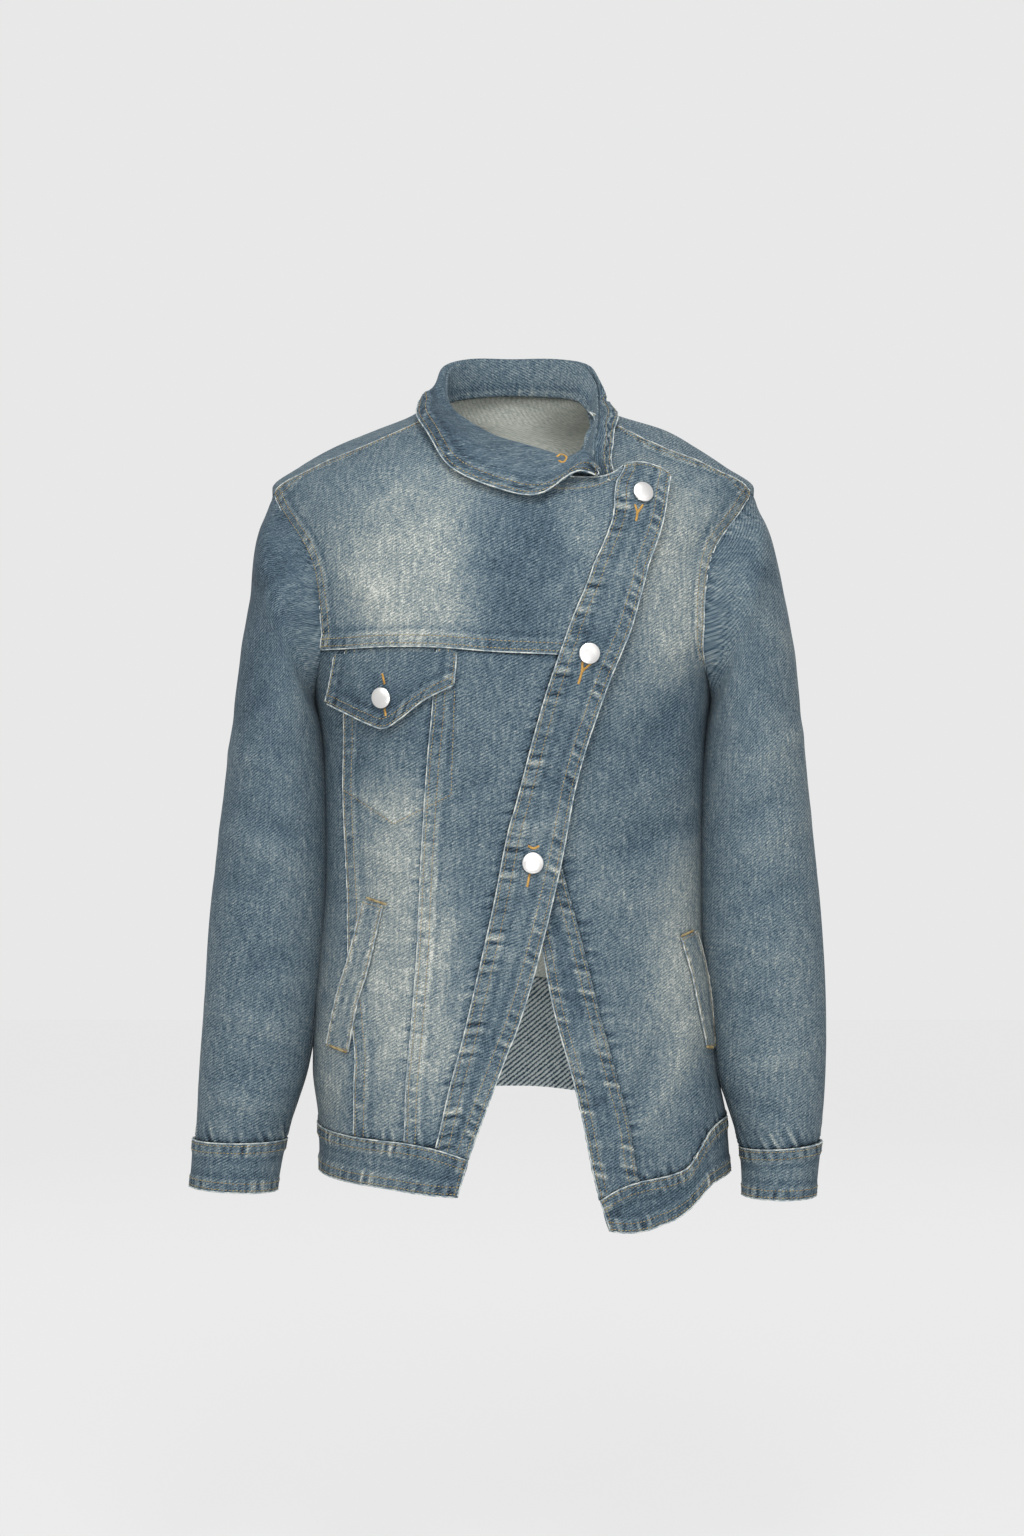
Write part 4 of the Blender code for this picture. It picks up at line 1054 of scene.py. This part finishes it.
def make_cuff(side, name, rows, seed):
    turn = np.linspace(360, 0, CUFF_STEPS) if side > 0 else np.linspace(0, 360, CUFF_STEPS)
    around = turn + CUFF_START
    shares = np.linspace(0, 1, CUFF_ROWS)[:, None, None]
    top, low = (ring_points(row, around) for row in rows)
    points = top * (1 - shares) + low * shares
    cuff = new_cloth(name, points, grid_normals(points))
    sewn_edge(cuff, "top", wide=11, high=0.8, pucker=0.6, white=0.9, seed=seed)
    sewn_edge(cuff, "bottom", wide=10, high=0.6, pucker=0.6, white=1.0, seed=seed + 1)
    finish_cloth(cuff, FOLDED_CLOTH, "middle", outside)
    make_folds("folds_" + name, [edge_of(cuff, "top"), edge_of(cuff, "bottom")])
    make_stitches("stitches_" + name, [
        row_along(cuff, "top", 2.4), row_along(cuff, "top", 8.4),
        row_along(cuff, "bottom", 2.4), row_along(cuff, "bottom", 8.2)])


make_sleeve(-1, "sleeve_right", RIGHT_SLEEVE, RIGHT_RINGS, [(-225, -150, 50, 100, -0.75),
                                                            (-235, -330, 50, 100, -0.25)], 3.1)
make_sleeve(1, "sleeve_left", LEFT_SLEEVE, LEFT_RINGS, [(235, -300, 34, 120, 0.25),
                                                        (240, -520, 30, 80, 0.2)], 6.3)
make_cuff(-1, "cuff_right", RIGHT_CUFF, 1.1)
make_cuff(1, "cuff_left", LEFT_CUFF, 2.3)

# ---------------------------------------------------------------------------------------------
# Collar: a standing band sewn to the neckline, and a leaf folded down over it. Both are doubled
# denim; the leaf's outer edge is stitched twice and ruffled between the rows.
# ---------------------------------------------------------------------------------------------
COLLAR_CLOTH = 2.0
COLLAR = [
    # neck angle, fold x, y, z, edge angle, height, lift
    (12, 72, -97.5, -70, 24, -72, 3),
    (14, 71, -93.5, -58, 24.5, -60, 3.5),
    (16, 67, -88, -43, 25, -51, 4),
    (19, 70, -85, -32, 27, -44, 5),
    (26, 73, -60, -12, 36, -20, 6),
    (41, 74, -22, 7, 59, -3, 7),
    (90, 73, 8, 27, 90, 5, 6),
    (116, 62, 34, 46, 122, 5, 7),
    (145, 36, 57, 54, 150, 6, 7),
    (180, 0, 67, 55, 180, 8, 7),
    (215, -34, 57, 54, 212, 6, 7),
    (242, -55, 30, 44, 240, 6, 7),
    (270, -57, 3, 25, 272, 7, 6),
    (316, -54, -23, 8, 303, -4, 8),
    (334, -44, -46, -6, 328, -22, 8),
    (343, -30, -62, -17, 338, -38, 7),
    (351, -10, -75, -29, 346, -61, 6),
    (360, 11, -86, -36, 355, -76, 7),
    (367, 26, -91, -41, 362, -83, 7),
    (371, 40, -94, -46, 366, -84, 7),
    (374, 52, -99, -50, 370, -75, 10),
    (377, 62, -106, -39, 374, -65, 14),
    (379, 71, -103, -58, 377, -66, 8),
    (381, 75, -101, -61, 380.5, -68, 5),
]
STAND_ROWS = [row[:4] for row in COLLAR[:20]] + [(374, 50, -98, -57), (380, 70, -96, -62)]
LEAF_LIFT = 8.0
ROLL_OUT, ROLL_UP = 4.5, 1.8
STAND_INSIDE, STAND_BELOW = 3.2, 3.5

neck_line = joined(front_line(LEFT_NECKLINE)[::-1],
                   [front_line(LEFT_NECKLINE)[0]] + BACK_NECKLINE + [(360 + shoulder_right[0][0], -4)],
                   [(360 + angle, height) for angle, height in front_line(RIGHT_NECKLINE)])


def lap_lift(angle, height):
    """Lift of a neckline or edge at a turned angle, where one front laps over the other."""
    return np.where(angle > 270, right_lift(angle - 360, height),
                    np.where(angle < 90, left_lift(angle, height), 0.0))


def neck_points(angle, lift):
    height = np.interp(angle, neck_line[:, 0], neck_line[:, 1])
    return body_point(angle, height, lap_lift(angle, height) + lift)


def soften(points, reach):
    """A running mean along a line of points that keeps its ends."""
    ends = np.concatenate([np.repeat(points[:1], reach, axis=0), points,
                           np.repeat(points[-1:], reach, axis=0)])
    share = np.ones(2 * reach + 1) / (2 * reach + 1)
    return np.stack([np.convolve(ends[:, k], share, mode="valid") for k in range(3)], axis=-1)


def collar_leaf(columns, rows):
    table = line_at(COLLAR, np.linspace(0, 1, columns))
    neck, raised, fold = neck_points(table[:, 0], 0.0), neck_points(table[:, 0], LEAF_LIFT), table[:, 1:4]
    edge = body_point(table[:, 4], table[:, 5], lap_lift(table[:, 4], table[:, 5]) + table[:, 6])
    fold, edge, neck = soften(fold, 3), soften(edge, 3), soften(neck, 6)
    raised = soften(raised, 6)
    away = soften(unit((edge - fold) * (1, 1, 0)), 5)
    crest = fold + away * ROLL_OUT + (0, 0, ROLL_UP)
    outward = unit(raised - neck)
    middle = fold + (edge - fold) * 0.55
    middle = middle + outward * np.maximum(0, ((raised - middle) * outward).sum(axis=1))[:, None]
    start = fold - away * 1.0 - (0, 0, 1.5)
    stations = np.stack([start, (fold * 0.55 + crest * 0.45) + (0, 0, 0.8), crest + away * 1.6 - (0, 0, 1.5),
                         middle, edge])
    shares = np.linspace(0, 1, rows) ** 1.15
    return np.stack([line_at(stations[:, i], shares) for i in range(columns)], axis=1)


def collar_stand(columns, rows):
    table = line_at(STAND_ROWS, np.linspace(0, 1, columns))
    neck = soften(neck_points(table[:, 0], -STAND_INSIDE), 6) - (0, 0, STAND_BELOW)
    top = soften(table[:, 1:4], 4)
    shares = np.linspace(1, 0, rows)[:, None, None]
    bulge = soften(unit(neck_points(table[:, 0], 1.0) - neck_points(table[:, 0], 0.0)) * -1.5, 8)
    return neck + (top - neck) * shares + bulge * np.sin(np.pi * shares)


leaf_points = collar_leaf(190, 34)
leaf = new_cloth("collar_leaf", leaf_points, grid_normals(leaf_points))
fade(leaf, [(-60, -20, 26, 40, -0.7), (0, -60, 40, 30, -0.1)])
leaf.wear_and_shade -= 0.25
sewn_edge(leaf, "bottom", wide=12, high=0.5, pucker=1.0, white=0.7, reach=13, seed=4.6, tight=1.6)
sewn_edge(leaf, "right", wide=6, high=0.3, pucker=0.9, white=0.9, reach=12, seed=2.6)
finish_cloth(leaf, COLLAR_CLOTH, "middle", outside)
make_folds("folds_collar", [edge_of(leaf, "bottom"), edge_of(leaf, "right"), edge_of(leaf, "left")])
make_stitches("stitches_collar", [row_along(leaf, "bottom", 3.2), row_along(leaf, "bottom", 9.6),
                                  row_along(leaf, "right", 2.6)])
stand_points = collar_stand(200, 14)
stand = new_cloth("collar_stand", stand_points, grid_normals(stand_points))
sewn_edge(stand, "bottom", wide=5, high=0.3, pucker=0.3, white=0.6, reach=10, seed=7.1)
finish_cloth(stand, COLLAR_CLOTH, "middle", outside)
make_stitches("stitches_stand", [row_along(stand, "bottom", 2.5)])

# ---------------------------------------------------------------------------------------------
# Buttons: plain pressed shank buttons of nickel-plated steel, slightly domed with a rolled rim,
# tumbled to a satin. Each hole above or below them is oversewn with bright golden thread.
# ---------------------------------------------------------------------------------------------
BUTTON_PROFILE = [(0, 4.6), (3.0, 4.5), (5.8, 4.1), (7.2, 3.6), (7.8, 3.3), (8.4, 3.25), (8.8, 2.7),
                  (8.7, 1.9), (8.0, 1.3), (3.0, 1.0), (3.0, 0.0), (0, 0.0)]
BUTTONS = [("button_top", 108, -76), ("button_middle", 63, -210), ("button_lower", 17, -382)]
BUTTON_STEPS = 40

satin_nickel = bpy.data.materials.new("satin_nickel_plate")
satin_nickel.use_nodes = True
shader = satin_nickel.node_tree.nodes["Principled BSDF"]
shader.inputs["Base Color"].default_value = linear("#dedddb")
shader.inputs["Metallic"].default_value = 1.0
shader.inputs["Roughness"].default_value = 0.38


def make_button(name, cloths, x, z):
    (place,), (face,) = on_cloth(cloths, [(x, z)])
    form = bmesh.new()
    outline = [form.verts.new((radius * MM, 0, height * MM)) for radius, height in BUTTON_PROFILE]
    edges = [form.edges.new(pair) for pair in zip(outline, outline[1:])]
    bmesh.ops.spin(form, geom=outline + edges, axis=(0, 0, 1), cent=(0, 0, 0), angle=math.tau,
                   steps=BUTTON_STEPS, use_merge=True)
    bmesh.ops.remove_doubles(form, verts=form.verts, dist=0.00001)
    bmesh.ops.recalc_face_normals(form, faces=form.faces)
    turn = Vector(face).to_track_quat("Z", "Y").to_matrix().to_4x4()
    bmesh.ops.transform(form, matrix=Matrix.Translation(Vector(place) * MM) @ turn, verts=form.verts)
    piece = placed_piece(form, name, name + "_metal", satin_nickel)
    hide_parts(name)
    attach(piece, "root")


for name, x, z in BUTTONS:
    make_button(name, [band], x, z)
make_button("button_flap", [flap], -107, -246)

# Golden oversewing of the buttonholes, and the bartacks at the pocket ends.
SATIN_HALF = (0.55, 1.25, 0.5)
SATIN_PITCH = 0.85
HOLE_THREADS = [
    (band, [(101.5, -86), (103.5, -93), (102.4, -100)]), (band, [(108.5, -86), (103.8, -93)]),
    (band, [(57.8, -217), (57.2, -225), (54.5, -235)]), (band, [(64.6, -218), (57.4, -225)]),
    (band, [(14.5, -391), (12.4, -402)]), (band, [(13, -368), (18, -370), (22, -368)]),
    (flap, [(-107, -226), (-105, -235)]), (flap, [(-105, -255), (-104, -261)]),
    (leaf, [(37, -47), (41, -44), (45, -48), (42, -52), (38, -50)]),
]
BARTACKS = [
    (welt_right, [(-121, -412), (-104, -417)]), (welt_right, [(-153, -537), (-138, -541)]),
    (welt_left, [(142, -445), (153, -441)]), (welt_left, [(164, -539), (171, -541)]),
]


def satin_row(cloth, corners):
    line = line_at(corners, np.linspace(0, 1, 24))
    return follow(*on_cloth([cloth], line), pitch=SATIN_PITCH, margin=0.4)


make_stitches("thread_buttonholes", [satin_row(*row) for row in HOLE_THREADS], bright_thread, SATIN_HALF)
make_stitches("thread_bartacks", [satin_row(*row) for row in BARTACKS], thread, SATIN_HALF)

# ---------------------------------------------------------------------------------------------
# Studio: a plain pale floor, soft lights in front and above, and the camera level with the middle
# of the jacket.
# ---------------------------------------------------------------------------------------------
FLOOR_HEIGHT = -1.02
FLOOR_HALF = 6.0
sweep = bmesh.new()
bmesh.ops.create_grid(sweep, x_segments=1, y_segments=1, size=FLOOR_HALF,
                      matrix=Matrix.Translation((0, 0, FLOOR_HEIGHT)))
sweep_mesh = bpy.data.meshes.new("floor")
sweep.to_mesh(sweep_mesh)
sweep.free()
floor = bpy.data.objects.new("floor", sweep_mesh)
bpy.context.scene.collection.objects.link(floor)
paper = bpy.data.materials.new("pale_paper")
paper.use_nodes = True
paper_shader = paper.node_tree.nodes["Principled BSDF"]
paper_shader.inputs["Base Color"].default_value = linear("#5c5c5c")
paper_shader.inputs["Roughness"].default_value = 0.95
paper_shader.inputs["Emission Color"].default_value = linear("#e8e8e8")
paper_shader.inputs["Emission Strength"].default_value = 0.815
sweep_mesh.materials.append(paper)

world = bpy.data.worlds.new("studio")
bpy.context.scene.world = world
world.use_nodes = True
sky = world.node_tree.nodes["Background"]
sky.inputs["Color"].default_value = linear("#e8e8e8")
sky.inputs["Strength"].default_value = 1.0


def soft_light(name, place, size, power):
    light = bpy.data.lights.new(name, "AREA")
    light.shape = "SQUARE"
    light.size = size
    light.energy = power
    lamp = bpy.data.objects.new(name, light)
    lamp.location = place
    lamp.rotation_euler = (Vector((0, 0, -0.3)) - Vector(place)).to_track_quat("-Z", "Y").to_euler()
    bpy.context.scene.collection.objects.link(lamp)


LIGHTS = [
    # name, place and side in metres, watts
    ("key", (-1.1, -2.2, 1.0), 1.2, 22), ("fill", (1.6, -2.0, 0.2), 1.6, 6),
    ("neck_light", (0.1, -1.3, 1.1), 0.5, 20), ("back_key", (1.2, 2.4, 0.9), 1.4, 14),
    ("back_fill", (-1.6, 2.0, 0.3), 1.4, 7), ("hem_light", (0.05, -1.6, -0.95), 0.5, 12),
]
for row in LIGHTS:
    soft_light(*row)

camera = bpy.data.objects.new("camera", bpy.data.cameras.new("camera"))
camera.location = (0, -2.6, -0.304)
camera.rotation_euler = (math.radians(90), 0, 0)
camera.data.lens = 70.9
camera.data.sensor_width = 36.0
bpy.context.scene.collection.objects.link(camera)
bpy.context.scene.camera = camera
bpy.context.scene.view_settings.view_transform = "Standard"
